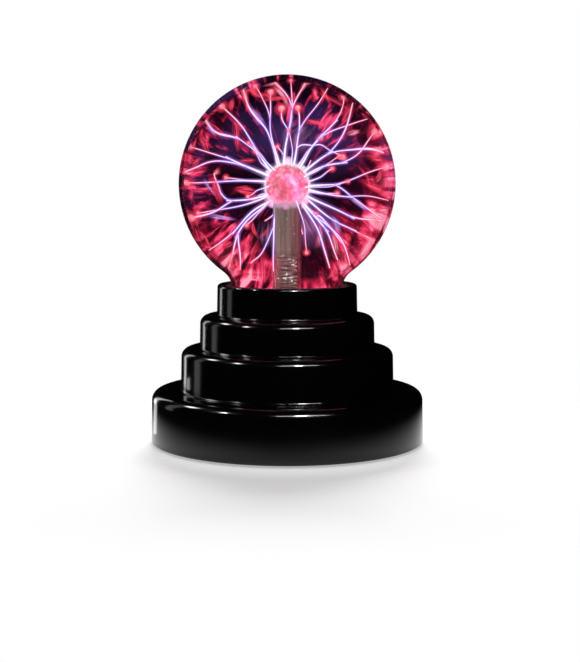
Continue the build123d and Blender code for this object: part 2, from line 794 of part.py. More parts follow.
with BuildPart() as electrolytic_capacitors:
    with BuildSketch(Plane.XY.offset(board_top)):
        with Locations(*capacitor_spots):
            Circle(capacitor_radius)
    extrude(amount=capacitor_height)
    fillet(electrolytic_capacitors.edges().filter_by(GeomType.CIRCLE), capacitor_radius / 8)
electrolytic_capacitors.part.label = "electrolytic_capacitors"
export_step(electrolytic_capacitors.part, "parts/electrolytic_capacitors.step")

with BuildPart() as film_capacitor:
    with BuildSketch(Plane.XY.offset(board_top)):
        with Locations(film_spot):
            Rectangle(film_length, film_width)
    extrude(amount=film_height)
    fillet(film_capacitor.edges().filter_by(Axis.Z), film_width / 6)
film_capacitor.part.label = "film_capacitor"
export_step(film_capacitor.part, "parts/film_capacitor.step")

# The driver transistor stands in front of its heat sink and is screwed to it.
body_bottom = board_top + transistor_lift
tab_front = transistor_spot[1] - transistor_depth / 2
sink_front = tab_front - tab_thickness
screw_z = body_bottom + (transistor_height + tab_height) / 2

with BuildPart() as driver_transistor:
    with BuildSketch(rear_plane(tab_front)):
        with Locations((transistor_spot[0], body_bottom + transistor_height / 2)):
            Rectangle(transistor_width, transistor_height)
    extrude(amount=-transistor_depth)
    with BuildSketch(rear_plane(tab_front)):
        with Locations((transistor_spot[0], body_bottom + tab_height / 2)):
            Rectangle(transistor_width, tab_height)
        with Locations((transistor_spot[0], screw_z)):
            Circle(sink_screw_shank + fit, mode=Mode.SUBTRACT)
    extrude(amount=tab_thickness)
driver_transistor.part.label = "driver_transistor"
export_step(driver_transistor.part, "parts/driver_transistor.step")

with BuildPart() as transistor_legs:
    with BuildSketch(Plane.XY.offset(leg_end)):
        with Locations(*transistor_holes):
            Rectangle(2.4 * leg_radius, 1.6 * leg_radius)
    extrude(amount=body_bottom - leg_end)
transistor_legs.part.label = "transistor_legs"
export_step(transistor_legs.part, "parts/transistor_legs.step")

with BuildPart() as heat_sink:
    with BuildSketch(Plane.XY.offset(board_top)):
        with Locations((transistor_spot[0], sink_front - sink_depth / 2)):
            Rectangle(sink_width, sink_depth)
        with Locations((transistor_spot[0], sink_front - sink_thickness - sink_depth / 2)):
            Rectangle(sink_width - 2 * sink_thickness, sink_depth, mode=Mode.SUBTRACT)
    extrude(amount=sink_height)
    with BuildSketch(rear_plane(sink_front)):
        with Locations((transistor_spot[0], screw_z)):
            Circle(sink_screw_shank + shank_fit)
    extrude(amount=sink_thickness, mode=Mode.SUBTRACT)
heat_sink.part.label = "heat_sink"
export_step(heat_sink.part, "parts/heat_sink.step")

with BuildPart() as heat_sink_screw:
    with BuildSketch(rear_plane(tab_front)):
        with Locations((transistor_spot[0], screw_z)):
            Circle(sink_screw_head)
    extrude(amount=-sink_screw_head_height)
    with BuildSketch(rear_plane(tab_front)):
        with Locations((transistor_spot[0], screw_z)):
            Circle(sink_screw_shank)
    extrude(amount=tab_thickness + sink_thickness + leg_drop)
heat_sink_screw.part.label = "heat_sink_screw"
export_step(heat_sink_screw.part, "parts/heat_sink_screw.step")

# ============================================================ circuit board
with BuildPart() as circuit_board:
    with BuildSketch(Plane.XY.offset(board_bottom)):
        Circle(board_radius)
        with Locations(*board_screw_spots):
            Circle(board_screw_shank + fit, mode=Mode.SUBTRACT)
        with Locations(*(resistor_holes + diode_holes + upright_holes + transistor_holes)):
            Circle(leg_hole, mode=Mode.SUBTRACT)
        with Locations(*bobbin_pin_spots):
            Circle(bobbin_pin_radius + fit, mode=Mode.SUBTRACT)
    extrude(amount=board_thickness)
circuit_board.part.label = "circuit_board"
export_step(circuit_board.part, "parts/circuit_board.step")

with BuildPart() as board_screws:
    with BuildSketch(Plane.XY.offset(board_bottom - board_screw_head_height)):
        with Locations(*board_screw_spots):
            Circle(board_screw_head)
    extrude(amount=board_screw_head_height)
    with BuildSketch(Plane.XY.offset(board_bottom)):
        with Locations(*board_screw_spots):
            Circle(board_screw_shank)
    extrude(amount=board_thickness + board_screw_depth)
board_screws.part.label = "board_screws"
export_step(board_screws.part, "parts/board_screws.step")

# ============================================================= slide switch
# A steel frame with two ears on the panel, a moulded body behind it, and the knob's carrier in
# the body's cavity.
with BuildPart() as switch_frame:
    with BuildSketch(rear_plane(frame_back)):
        with Locations((switch_x, control_z)):
            Rectangle(switch_width + 2 * frame_ear, switch_height)
            Rectangle(slot_span, slot_height, mode=Mode.SUBTRACT)
        with Locations((switch_x - ear_place, control_z), (switch_x + ear_place, control_z)):
            Circle(switch_screw_shank + fit, mode=Mode.SUBTRACT)
    extrude(amount=-frame_thickness)
switch_frame.part.label = "switch_frame"
export_step(switch_frame.part, "parts/switch_frame.step")

with BuildPart() as switch_body:
    with BuildSketch(rear_plane(switch_back)):
        with Locations((switch_x, control_z)):
            Rectangle(switch_width, switch_height)
    extrude(amount=-(frame_back - switch_back))
    with BuildSketch(rear_plane(frame_back)):
        with Locations((switch_x, control_z)):
            Rectangle(cavity_width, cavity_height)
    extrude(amount=cavity_depth, mode=Mode.SUBTRACT)
switch_body.part.label = "switch_body"
export_step(switch_body.part, "parts/switch_body.step")

with BuildPart() as switch_knob:
    with BuildSketch(rear_plane(carrier_front)):
        with Locations((knob_x, control_z)):
            Rectangle(carrier_width, carrier_height)
    extrude(amount=carrier_depth)
    with BuildSketch(rear_plane(carrier_front)):
        with Locations((knob_x, control_z)):
            Rectangle(knob_width, knob_height)
    extrude(amount=-(panel_outer + knob_reach - carrier_front))
    # Finger ribs across the knob's face.
    with BuildSketch(rear_plane(panel_outer + knob_reach)):
        with Locations(*[(knob_x + knob_width * i / 4, control_z) for i in (-1, 0, 1)]):
            Rectangle(knob_width / 9, knob_height)
    extrude(amount=knob_reach / 5, mode=Mode.SUBTRACT)
switch_knob.part.label = "switch_knob"
export_step(switch_knob.part, "parts/switch_knob.step")

with BuildPart() as switch_terminals:
    with BuildSketch(rear_plane(switch_back)):
        with Locations(*[(switch_x + terminal_pitch * i, control_z) for i in (-1, 0, 1)]):
            Rectangle(switch_pin_width, switch_pin_thickness)
    extrude(amount=switch_pin_length)
switch_terminals.part.label = "switch_terminals"
export_step(switch_terminals.part, "parts/switch_terminals.step")

with BuildPart() as switch_screws:
    with BuildSketch(rear_plane(frame_back)):
        with Locations((switch_x - ear_place, control_z), (switch_x + ear_place, control_z)):
            Circle(switch_screw_head)
    extrude(amount=switch_screw_head_height)
    with BuildSketch(rear_plane(frame_back)):
        with Locations((switch_x - ear_place, control_z), (switch_x + ear_place, control_z)):
            Circle(switch_screw_shank)
    extrude(amount=-(frame_thickness + switch_screw_depth))
switch_screws.part.label = "switch_screws"
export_step(switch_screws.part, "parts/switch_screws.step")

# ============================================================= power socket
contact_front = bore_floor + 3 * side_contact_thickness
contact_x = socket_x - socket_bore - side_contact_thickness / 2

with BuildPart() as socket_body:
    with BuildSketch(rear_plane(socket_back)):
        with Locations((socket_x, control_z)):
            Rectangle(socket_width, socket_height)
    extrude(amount=-socket_depth)
    with BuildSketch(rear_plane(panel_inner)):
        with Locations((socket_x, control_z)):
            Circle(nose_radius)
    extrude(amount=-wall)
    with BuildSketch(rear_plane(panel_outer)):
        with Locations((socket_x, control_z)):
            Circle(socket_bore)
    extrude(amount=socket_bore_depth, mode=Mode.SUBTRACT)
    with BuildSketch(rear_plane(socket_back)):
        with Locations((socket_x, control_z)):
            Circle(pin_radius + fit)
    extrude(amount=-(bore_floor - socket_back), mode=Mode.SUBTRACT)
    with BuildSketch(rear_plane(socket_back)):
        with Locations((contact_x, control_z)):
            Rectangle(side_contact_thickness + fit, side_contact_height + fit)
    extrude(amount=-(contact_front + fit - socket_back), mode=Mode.SUBTRACT)
socket_body.part.label = "socket_body"
export_step(socket_body.part, "parts/socket_body.step")

with BuildPart() as socket_pin:
    with BuildSketch(rear_plane(socket_back - lug_length)):
        with Locations((socket_x, control_z)):
            Circle(pin_radius)
    extrude(amount=-(panel_outer - pin_setback - socket_back + lug_length))
    with BuildSketch(rear_plane(bore_floor)):
        with Locations((socket_x, control_z)):
            Circle(pin_flange)
    extrude(amount=-pin_flange_thickness)
    fillet(socket_pin.edges().group_by(Axis.Y)[-1], pin_radius / 3)
socket_pin.part.label = "socket_pin"
export_step(socket_pin.part, "parts/socket_pin.step")

with BuildPart() as socket_contact:
    with BuildSketch(rear_plane(socket_back - lug_length)):
        with Locations((contact_x, control_z)):
            Rectangle(side_contact_thickness, side_contact_height)
    extrude(amount=-(contact_front - socket_back + lug_length))
socket_contact.part.label = "socket_contact"
export_step(socket_contact.part, "parts/socket_contact.step")

# ================================================ cells, springs and contacts
# Cells lie along X, side by side, turned end for end in turn.
cell_rows = []
for index in range(cell_count):
    cell_rows.append((cell_pitch * (index + 0.5 - cell_count / 2), 1 if index % 2 == 0 else -1))
button_tip = tray_end - contact_thickness
can_length = cell_length - button_length

with BuildPart() as battery_cells:
    for y, side in cell_rows:
        with BuildSketch(Plane.YZ.offset(side * (button_tip - cell_length))):
            with Locations((y, cell_z)):
                Circle(cell_radius)
        extrude(amount=side * can_length)
    fillet(battery_cells.edges().filter_by(GeomType.CIRCLE), cell_radius / 10)
    for y, side in cell_rows:
        with BuildSketch(Plane.YZ.offset(side * (button_tip - button_length))):
            with Locations((y, cell_z)):
                Circle(button_radius)
        extrude(amount=side * button_length)
battery_cells.part.label = "battery_cells"
export_step(battery_cells.part, "parts/battery_cells.step")

cell_spring_radius = 3.2
cell_spring_wire = 0.35
cell_spring_pitch = 1.55
cell_springs = []
for y, side in cell_rows:
    seat = (-side * (button_tip - fit), y, cell_z)
    spring = coil_spring(
        seat, (side, 0, 0), coil_space, cell_spring_radius, cell_spring_pitch, cell_spring_wire
    )
    cell_springs.append(spring)

with BuildPart() as battery_springs:
    for spring in cell_springs:
        add(spring)
battery_springs.part.label = "battery_springs"
export_step(battery_springs.part, "parts/battery_springs.step")

tail_top = tray_top + contact_thickness * 4
pair_width = cell_pitch + contact_side
first_row = cell_rows[0][0]
last_row = cell_rows[-1][0]

with BuildPart() as contact_plates:
    with BuildSketch(Plane.YZ.offset(button_tip)):
        with Locations((first_row, cell_z), (last_row, cell_z)):
            Rectangle(contact_side, contact_side)
        with Locations((0, cell_z)):
            Rectangle(pair_width, contact_side)
        with Locations(*[(y, (cell_z + tail_top) / 2) for y in (first_row, last_row)]):
            Rectangle(tail_width, tail_top - cell_z)
    extrude(amount=contact_thickness)
    with BuildSketch(Plane.YZ.offset(-tray_end)):
        with Locations((first_row + cell_pitch / 2, cell_z), (last_row - cell_pitch / 2, cell_z)):
            Rectangle(pair_width, contact_side)
    extrude(amount=contact_thickness)
contact_plates.part.label = "contact_plates"
export_step(contact_plates.part, "parts/contact_plates.step")

# =========================================================== internal leads
lead_radius = 0.6
lead_bend = 0.9
lead_shift = 3.0         # how far a battery lead steps sideways on its way to the board
lead_inset = 6.0         # rear leads pass this far inside the second drum


def rising_lead(start, end, low_z, high_z):
    """A lead from a terminal below up to the board, stepping across between two upright runs."""
    low = (start[0], start[1], low_z)
    high = (end[0], end[1], high_z)
    return round_wire([start, low, high, end], [lead_bend, lead_bend], lead_radius)


tail_x = tray_end - contact_thickness / 2
battery_leads = []
for row, way in ((first_row, 1), (last_row, -1)):
    start = (tail_x, row, tail_top)
    end = (tail_x - lead_shift, row + way * lead_shift, board_bottom)
    climb = board_bottom - tail_top
    battery_leads.append(rising_lead(start, end, tail_top + 0.35 * climb, board_bottom - 0.35 * climb))

with BuildPart() as battery_lead_red:
    add(battery_leads[0])
battery_lead_red.part.label = "battery_lead_red"
export_step(battery_lead_red.part, "parts/battery_lead_red.step")

with BuildPart() as battery_lead_black:
    add(battery_leads[1])
battery_lead_black.part.label = "battery_lead_black"
export_step(battery_lead_black.part, "parts/battery_lead_black.step")

# The leads from the rear controls step inwards under the skirt's ceiling, then climb inside
# the second drum.
lead_y = second_inner - lead_inset
lead_turn = skirt_ceiling - lead_bend


def rear_lead(x, y, start_z):
    """A lead from a terminal at the rear up to the board."""
    return rising_lead((x, y, start_z), (x, lead_y, board_bottom), start_z + 2 * lead_bend, lead_turn)


lug_y = socket_back - lead_radius - fit
socket_red = rear_lead(socket_x, lug_y, control_z + pin_radius)
socket_black = rear_lead(contact_x, lug_y, control_z + side_contact_height / 2)

with BuildPart() as socket_lead_red:
    add(socket_red)
socket_lead_red.part.label = "socket_lead_red"
export_step(socket_lead_red.part, "parts/socket_lead_red.step")

with BuildPart() as socket_lead_black:
    add(socket_black)
socket_lead_black.part.label = "socket_lead_black"
export_step(socket_lead_black.part, "parts/socket_lead_black.step")

switch_lead_y = switch_back - switch_pin_length / 2
switch_lead_z = control_z + switch_pin_thickness / 2
switch_wires = [rear_lead(switch_x + terminal_pitch * i, switch_lead_y, switch_lead_z) for i in (-1, 0)]

with BuildPart() as switch_leads:
    for wire in switch_wires:
        add(wire)
switch_leads.part.label = "switch_leads"
export_step(switch_leads.part, "parts/switch_leads.step")
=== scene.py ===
import math
import random

import bmesh
import bpy
from mathutils import Matrix, Vector


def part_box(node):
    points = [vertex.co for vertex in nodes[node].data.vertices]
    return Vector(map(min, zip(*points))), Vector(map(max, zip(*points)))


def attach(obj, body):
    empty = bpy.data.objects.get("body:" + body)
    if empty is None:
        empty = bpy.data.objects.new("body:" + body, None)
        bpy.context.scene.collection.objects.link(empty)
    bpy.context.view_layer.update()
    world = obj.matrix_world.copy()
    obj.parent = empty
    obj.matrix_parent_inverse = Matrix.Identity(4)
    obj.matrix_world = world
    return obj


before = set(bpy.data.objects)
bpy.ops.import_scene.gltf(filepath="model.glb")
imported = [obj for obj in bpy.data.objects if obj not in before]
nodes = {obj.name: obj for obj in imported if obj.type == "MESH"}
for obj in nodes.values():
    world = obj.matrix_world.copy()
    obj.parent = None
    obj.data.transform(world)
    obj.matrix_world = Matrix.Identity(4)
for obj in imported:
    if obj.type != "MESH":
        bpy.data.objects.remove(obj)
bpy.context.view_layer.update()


# ---------------------------------------------------------------------- camera
# A short telephoto at table height, looking slightly down on the front of the ball, near enough
# for the ball to fill most of its view.
def in_scene(name, data):
    """An object with that camera, lamp, mesh or curve, put in the scene."""
    thing = bpy.data.objects.new(name, data)
    bpy.context.scene.collection.objects.link(thing)
    return thing


look_down = 0.110
camera_data = bpy.data.cameras.new("camera")
camera_data.lens = 76.0
camera_data.sensor_width = 36.0
camera_data.clip_start = 0.01
camera_data.clip_end = 20.0
camera = in_scene("camera", camera_data)
camera.location = (0.00099, -0.49456, 0.09438)
camera.rotation_euler = (math.pi / 2 - look_down, 0.0, 0.0)
bpy.context.scene.camera = camera
bpy.context.scene.view_settings.view_transform = "Standard"
# The glow is many thin see-through layers, so light may pass more of them than usual.
bpy.context.scene.cycles.transparent_max_bounces = 96


# -------------------------------------------------------------- studio: floor
# A white sweep, lit so that only the ball's own soft shadow shows on it. Round the ball it is
# matt white paper, and further off it goes over into the white behind.
def new_material(name):
    """An empty node material and its tree."""
    material = bpy.data.materials.new(name)
    material.use_nodes = True
    material.node_tree.nodes.clear()
    return material, material.node_tree


def add_node(tree, kind, inputs=None, **settings):
    """A node of that kind. inputs gives its sockets a value, a node or another node's output."""
    node = tree.nodes.new("ShaderNode" + kind)
    for name, value in settings.items():
        setattr(node, name, value)
    for socket, value in (inputs or {}).items():
        if isinstance(value, bpy.types.Node):
            value = value.outputs[0]
        if isinstance(value, bpy.types.NodeSocket):
            tree.links.new(value, node.inputs[socket])
        else:
            node.inputs[socket].default_value = value
    return node


def to_surface(tree, shader):
    """Makes that shader the surface of the tree's material."""
    output = tree.nodes.new("ShaderNodeOutputMaterial")
    tree.links.new(shader.outputs[0], output.inputs["Surface"])


def maths(tree, operation, first, second=0.0):
    """What one Math node gives for these."""
    return add_node(tree, "Math", {0: first, 1: second}, operation=operation).outputs[0]


def times(tree, first, second):
    """first times second."""
    return maths(tree, "MULTIPLY", first, second)


def in_range(tree, value, low, high, first, last, **settings):
    """value taken from the span low to high to the span first to last, and held there."""
    return add_node(tree, "MapRange", {0: value, 1: low, 2: high, 3: first, 4: last}, **settings).outputs[0]


def length_of(tree, vector):
    """How long that vector is."""
    return add_node(tree, "VectorMath", {0: vector}, operation="LENGTH").outputs["Value"]


def object_place(tree):
    """Each point's place in metres: Object coordinates."""
    return add_node(tree, "TexCoord").outputs["Object"]


def white_to_the_eye(tree):
    """1 for a ray that shows the background: seen directly, mirrored or through glass."""
    path = add_node(tree, "LightPath")
    seen = maths(tree, "MAXIMUM", path.outputs["Is Camera Ray"], path.outputs["Is Glossy Ray"])
    return maths(tree, "MAXIMUM", seen, path.outputs["Is Transmission Ray"])


def into_mesh(shape, name, smooth=False):
    """The mesh of a shape that has been built."""
    for face in shape.faces:
        face.smooth = smooth
    mesh = bpy.data.meshes.new(name)
    shape.to_mesh(mesh)
    shape.free()
    return mesh


floor_half = 4.0
paper_glow = 0.18
paper_near = 0.105        # the paper goes over into plain white from here
paper_far = 0.160
contact_start = 0.048     # next to the base the paper also gets painted light, in place of what the gloss throws back
contact_end = 0.067
painted_contact_light = 0.22
paper = bmesh.new()
bmesh.ops.create_grid(paper, x_segments=2, y_segments=2, size=floor_half)
floor = in_scene("floor", into_mesh(paper, "floor"))
floor_material, tree = new_material("floor_paper")
seen = white_to_the_eye(tree)
distance = length_of(tree, object_place(tree))
away = in_range(tree, distance, paper_near, paper_far, 0.0, 1.0, interpolation_type="SMOOTHSTEP")
# Painted light: the paper is made brighter next to the base, in place of the light that the glossy base would
# throw back on it.
contact = in_range(tree, distance, contact_start, contact_end, paper_glow + painted_contact_light, paper_glow,
                   interpolation_type="SMOOTHSTEP")
matt = add_node(tree, "BsdfDiffuse", {"Color": (0.86, 0.86, 0.86, 1.0)})
glow = add_node(tree, "Emission", {"Color": (1, 1, 1, 1), "Strength": times(tree, seen, contact)})
lit = add_node(tree, "AddShader", {0: matt, 1: glow})
plain = add_node(tree, "Emission", {"Color": (1, 1, 1, 1), "Strength": 1.0})
to_surface(tree, add_node(tree, "MixShader", {0: times(tree, away, seen), 1: lit, 2: plain}))
floor.data.materials.append(floor_material)

# ------------------------------------------------------- studio: world and lamps
# A white room for what is seen, and a plain soft level for what it lights. The lamps are flat
# softboxes, and those that draw the highlights on the base light nothing else.
room_light = 0.56
world = bpy.data.worlds.new("white_room")
world.use_nodes = True
bpy.context.scene.world = world
tree = world.node_tree
tree.nodes.clear()
output = tree.nodes.new("ShaderNodeOutputWorld")
level = in_range(tree, white_to_the_eye(tree), 0.0, 1.0, room_light, 1.0)
room = add_node(tree, "Background", {"Color": (1, 1, 1, 1), "Strength": level})
tree.links.new(room.outputs[0], output.inputs["Surface"])

middle = (0.0, 0.0, 0.05)


def softbox(name, place, width, height, power, target=middle):
    """A flat lamp at place, turned towards target."""
    lamp = bpy.data.lights.new(name, "AREA")
    lamp.shape = "RECTANGLE"
    lamp.size = width
    lamp.size_y = height
    lamp.energy = power
    holder = in_scene(name, lamp)
    holder.location = place
    holder.rotation_euler = (Vector(target) - Vector(place)).to_track_quat("-Z", "Y").to_euler()
    return holder


# Two lamps light the set and aren't seen in its gloss. The one in front leaves out the floor.
overhead = softbox("overhead", (0.03, 0.74, 0.62), 0.42, 0.26, 8.0)
front_fill = softbox("front_fill", (-0.35, -0.75, 0.45), 0.5, 0.4, 4.2)
for lamp in (overhead, front_fill):
    lamp.visible_glossy = False
    lamp.visible_transmission = False
not_floor = bpy.data.collections.new("not_floor")
not_floor.objects.link(floor)
not_floor.collection_objects[0].light_linking.link_state = "EXCLUDE"
front_fill.light_linking.receiver_collection = not_floor

# The others only draw the highlights on the black base.
beside = (0.0, 0.0, 0.055)
gloss_only = bpy.data.collections.new("gloss_only")
for lamp in (
        softbox("front_strip", (0.15, -0.62, 0.58), 0.08, 0.06, 5.2),
        softbox("front_glow", (0.15, -0.62, 0.585), 0.56, 0.05, 2.5),
        softbox("shoulder_spot", (-0.55, -0.25, 0.60), 0.06, 0.06, 1.6),
        softbox("shoulder_glow", (-0.52, 0.20, 0.50), 0.12, 0.10, 1.0),
        softbox("left_strip", (-0.124, 0.110, 0.055), 0.020, 0.11, 0.016, beside),
        softbox("left_shade", (-0.165, 0.034, 0.055), 0.030, 0.11, 0.007, beside),
        softbox("skirt_strip", (-0.0605, 0.0085, 0.0105), 0.0064, 0.020, 0.0007, (-0.0461, -0.0150, 0.0105))):
    lamp.visible_diffuse = False
    lamp.visible_transmission = False
    lamp.visible_camera = False
    lamp.light_linking.receiver_collection = gloss_only

# Black cards all round the set and on the table, which only the gloss can see.
card_radius = 2.2
card_edge = 0.046         # the card on the table starts here and is full further out
card_full = 0.112
card_lift = 0.0005
card_material, tree = new_material("black_card")
distance = length_of(tree, object_place(tree))
cover = in_range(tree, distance, card_edge, card_full, 0.0, 1.0, interpolation_type="SMOOTHSTEP")
clear = add_node(tree, "BsdfTransparent")
card = add_node(tree, "Emission", {"Color": (0.001, 0.001, 0.001, 1.0), "Strength": 1.0})
to_surface(tree, add_node(tree, "MixShader", {0: cover, 1: clear, 2: card}))
dome = bmesh.new()
bmesh.ops.create_uvsphere(dome, u_segments=48, v_segments=24, radius=card_radius)
bmesh.ops.reverse_faces(dome, faces=dome.faces)
table = bmesh.new()
bmesh.ops.create_grid(table, x_segments=1, y_segments=1, size=card_radius)
bmesh.ops.translate(table, verts=table.verts, vec=(0, 0, card_lift))
for name, shape in (("black_dome", dome), ("table_card", table)):
    wall = in_scene(name, into_mesh(shape, name))
    wall.data.materials.append(card_material)
    wall.visible_camera = False
    wall.visible_diffuse = False
    wall.visible_transmission = False
    wall.visible_shadow = False


# ------------------------------------------------------------------ base shell
# Four stepped drums in one moulding of black ABS, straight from a polished steel tool. The
# gloss is even, with a trace of flow ripple and a little fine dust.
def dress(names, material):
    """Gives every slot of these CAD nodes that material."""
    for name in names:
        mesh = nodes[name].data
        if not mesh.materials:
            mesh.materials.append(material)
        for index in range(len(mesh.materials)):
            mesh.materials[index] = material


def noise_at(tree, place, scale, detail=2.0, roughness=0.5, distortion=0.0):
    """Noise at that place. Returns its factor."""
    return add_node(tree, "TexNoise", {"Vector": place, "Scale": scale, "Detail": detail,
                                       "Roughness": roughness, "Distortion": distortion}).outputs["Fac"]


def object_noise(tree, scale, detail=2.0, roughness=0.5, stretch=(1, 1, 1)):
    """Noise on Object coordinates, with scale in features per metre."""
    turned = add_node(tree, "Mapping", {"Vector": object_place(tree), "Scale": stretch})
    return noise_at(tree, turned, scale, detail, roughness)


def blend_colours(tree, factor, first, second):
    """first where factor is 0 and second where it is 1. Returns the colour."""
    node = add_node(tree, "Mix", data_type="RGBA")
    tree.links.new(factor, node.inputs["Factor"])
    for socket, value in ((node.inputs[6], first), (node.inputs[7], second)):
        if isinstance(value, bpy.types.NodeSocket):
            tree.links.new(value, socket)
        else:
            socket.default_value = (*value, 1.0)
    return node.outputs[2]


def raised(tree, height, depth, strength=1.0):
    """The normal of a surface with that height, depth metres from its lowest to highest."""
    return add_node(tree, "Bump", {"Height": height, "Distance": depth, "Strength": strength}).outputs[0]


shell_gloss, tree = new_material("shell_black_gloss")
flow = object_noise(tree, 60.0, 3.0)
specks = in_range(tree, object_noise(tree, 2600.0, 1.0), 0.74, 0.80, 0.0, 1.0)
to_surface(tree, add_node(tree, "BsdfPrincipled", {
    "Base Color": blend_colours(tree, specks, (0.0006, 0.0006, 0.0006), (0.004, 0.004, 0.004)),
    "Roughness": in_range(tree, flow, 0.3, 0.7, 0.10, 0.15), "Specular IOR Level": 0.45,
    "Normal": raised(tree, flow, 0.00002, 0.35)}))
dress(["base_shell"], shell_gloss)
gloss_only.objects.link(nodes["base_shell"])


# --------------------------------------------------- bottom cover and battery door
# Black ABS from a spark-eroded tool, so both have a fine matt grain. Screws hold the cover in
# the shell, and the door clips into the cover over the battery tray.
def new_group(name, inputs, outputs):
    """An empty shader node group with those sockets. Returns it, its input and its output node."""
    group = bpy.data.node_groups.new(name, "ShaderNodeTree")
    for way, sockets in (("INPUT", inputs), ("OUTPUT", outputs)):
        for title, kind in sockets.items():
            group.interface.new_socket(title, in_out=way, socket_type="NodeSocket" + kind)
    return group, group.nodes.new("NodeGroupInput").outputs, group.nodes.new("NodeGroupOutput").inputs


def skin_group(name, **inputs):
    """An empty group for a skin: its colour, roughness and normal."""
    return new_group(name, {"Dark": "Color", "Light": "Color", "Dullness": "Float", "Scale": "Float",
                            **inputs}, {"Color": "Color", "Roughness": "Float", "Normal": "Vector"})


def finish_skin(group, given, made, colour, unevenness, normal):
    """Joins a skin's parts to its group's output. unevenness is added to its dullness."""
    rough = maths(group, "ADD", unevenness, given["Dullness"])
    for title, value in (("Color", colour), ("Roughness", rough), ("Normal", normal)):
        group.links.new(value, made[title])


def place_group(tree, group, **values):
    """That group in a material, with these values. Returns its outputs."""
    node = tree.nodes.new("ShaderNodeGroup")
    node.node_tree = group
    for title, value in values.items():
        socket = node.inputs[title]
        socket.default_value = (*value, 1.0) if socket.type == "RGBA" else value
    return node.outputs


def skinned(name, group, specular, metallic, **values):
    """A material whose colour, roughness and normal come from that group with these values."""
    material, tree = new_material(name)
    skin = place_group(tree, group, **values)
    to_surface(tree, add_node(tree, "BsdfPrincipled", {
        "Base Color": skin["Color"], "Roughness": skin["Roughness"], "Normal": skin["Normal"],
        "Specular IOR Level": specular, "Metallic": metallic}))
    return material


moulded_grain, given, made = skin_group("moulded_grain", Depth="Float")
pits = add_node(moulded_grain, "TexVoronoi", {"Vector": object_place(moulded_grain), "Scale": given["Scale"]},
                feature="SMOOTH_F1").outputs["Distance"]
patches = object_noise(moulded_grain, 90.0, 3.0)
finish_skin(moulded_grain, given, made, blend_colours(moulded_grain, patches, given["Dark"], given["Light"]),
            in_range(moulded_grain, pits, 0.0, 0.6, -0.06, 0.08),
            raised(moulded_grain, pits, given["Depth"], 0.6))


def grained(name, dark, light, dullness, scale=2200.0):
    """Matt moulded plastic, its two colours in soft patches."""
    return skinned(name, moulded_grain, 0.5, 0.0, Dark=dark, Light=light, Dullness=dullness, Scale=scale,
                   Depth=0.00003)


dress(["bottom_cover", "battery_door"],
      grained("cover_black_matt", (0.006, 0.006, 0.007), (0.011, 0.011, 0.012), 0.55))

# ----------------------------------------------------------------- rubber feet
# Four discs of soft black rubber, stuck into the recesses of the cover. Their undersides pick
# up dust and dull a little where they rub on the table.
rubber, tree = new_material("foot_rubber")
dusty = object_noise(tree, 700.0, 4.0, 0.65)
dust = in_range(tree, dusty, 0.4, 0.7, 0.0, 1.0)
to_surface(tree, add_node(tree, "BsdfPrincipled", {
    "Base Color": blend_colours(tree, dust, (0.012, 0.012, 0.012), (0.035, 0.034, 0.033)),
    "Roughness": in_range(tree, dusty, 0.3, 0.7, 0.75, 0.95), "Specular IOR Level": 0.35,
    "Normal": raised(tree, dusty, 0.00005, 0.5)}))
dress(["rubber_feet"], rubber)

# --------------------------------------------------------- screws and steel parts
# Pressed and plated steel: pan-head screws, the switch's bent frame, and the springs and
# contacts of the battery bay. The plating is bright, with fine rolling marks and dull spots.
rolled_marks, given, made = skin_group("rolled_marks", Wear="Float", Stretch="Vector")
marks = object_noise(rolled_marks, given["Scale"], 4.0, 0.6, given["Stretch"])
spots = in_range(rolled_marks, object_noise(rolled_marks, 260.0, 3.0, 0.6), 0.35, 0.75, 0.0, 1.0)
worn = times(rolled_marks, spots, given["Wear"])
finish_skin(rolled_marks, given, made, blend_colours(rolled_marks, worn, given["Light"], given["Dark"]),
            in_range(rolled_marks, marks, 0.25, 0.75, 0.0, 0.2), raised(rolled_marks, marks, 0.00001, 0.5))


def metal(name, bright, dull, dullness, scale=900.0, stretch=(1, 1, 1)):
    """Plated or bare metal with fine marks, drawn out by stretch."""
    return skinned(name, rolled_marks, 0.5, 1.0, Light=bright, Dark=dull, Wear=0.5, Dullness=dullness,
                   Scale=scale, Stretch=stretch)


dress(["cover_screws", "board_screws", "heat_sink_screw", "switch_screws"],
      metal("screw_zinc", (0.52, 0.53, 0.55), (0.30, 0.30, 0.31), 0.25))
dress(["battery_springs", "contact_plates"],
      metal("contact_nickel", (0.62, 0.60, 0.56), (0.38, 0.36, 0.33), 0.18))
dress(["switch_terminals", "socket_contact", "socket_pin", "component_legs", "transistor_legs",
       "transformer_pins"], metal("terminal_tin", (0.66, 0.66, 0.65), (0.42, 0.42, 0.41), 0.22, 1500.0))
dress(["switch_frame"],
      metal("frame_steel", (0.56, 0.56, 0.57), (0.36, 0.36, 0.36), 0.28, 1600.0, (0.15, 1, 1)))
dress(["heat_sink"],
      metal("sink_aluminium", (0.60, 0.61, 0.62), (0.45, 0.46, 0.47), 0.34, 1800.0, (1, 1, 0.1)))
dress(["lead_terminal"], metal("terminal_brass", (0.58, 0.42, 0.16), (0.36, 0.25, 0.10), 0.28))


# -------------------------------------------------------------- glass globe and stem
# A ball of soda-lime glass, blown thin and sealed to the flared foot of an inner tube, with
# faint draw lines. It is clear, so it is given little mirror of its own.
def clear_to_lamps(tree, shader, tint):
    """That shader, but lamp light goes straight through it to what stands inside."""
    clear = add_node(tree, "BsdfTransparent", {"Color": (*tint, 1.0)})
    path = add_node(tree, "LightPath")
    return add_node(tree, "MixShader", {0: path.outputs["Is Shadow Ray"], 1: shader, 2: clear})


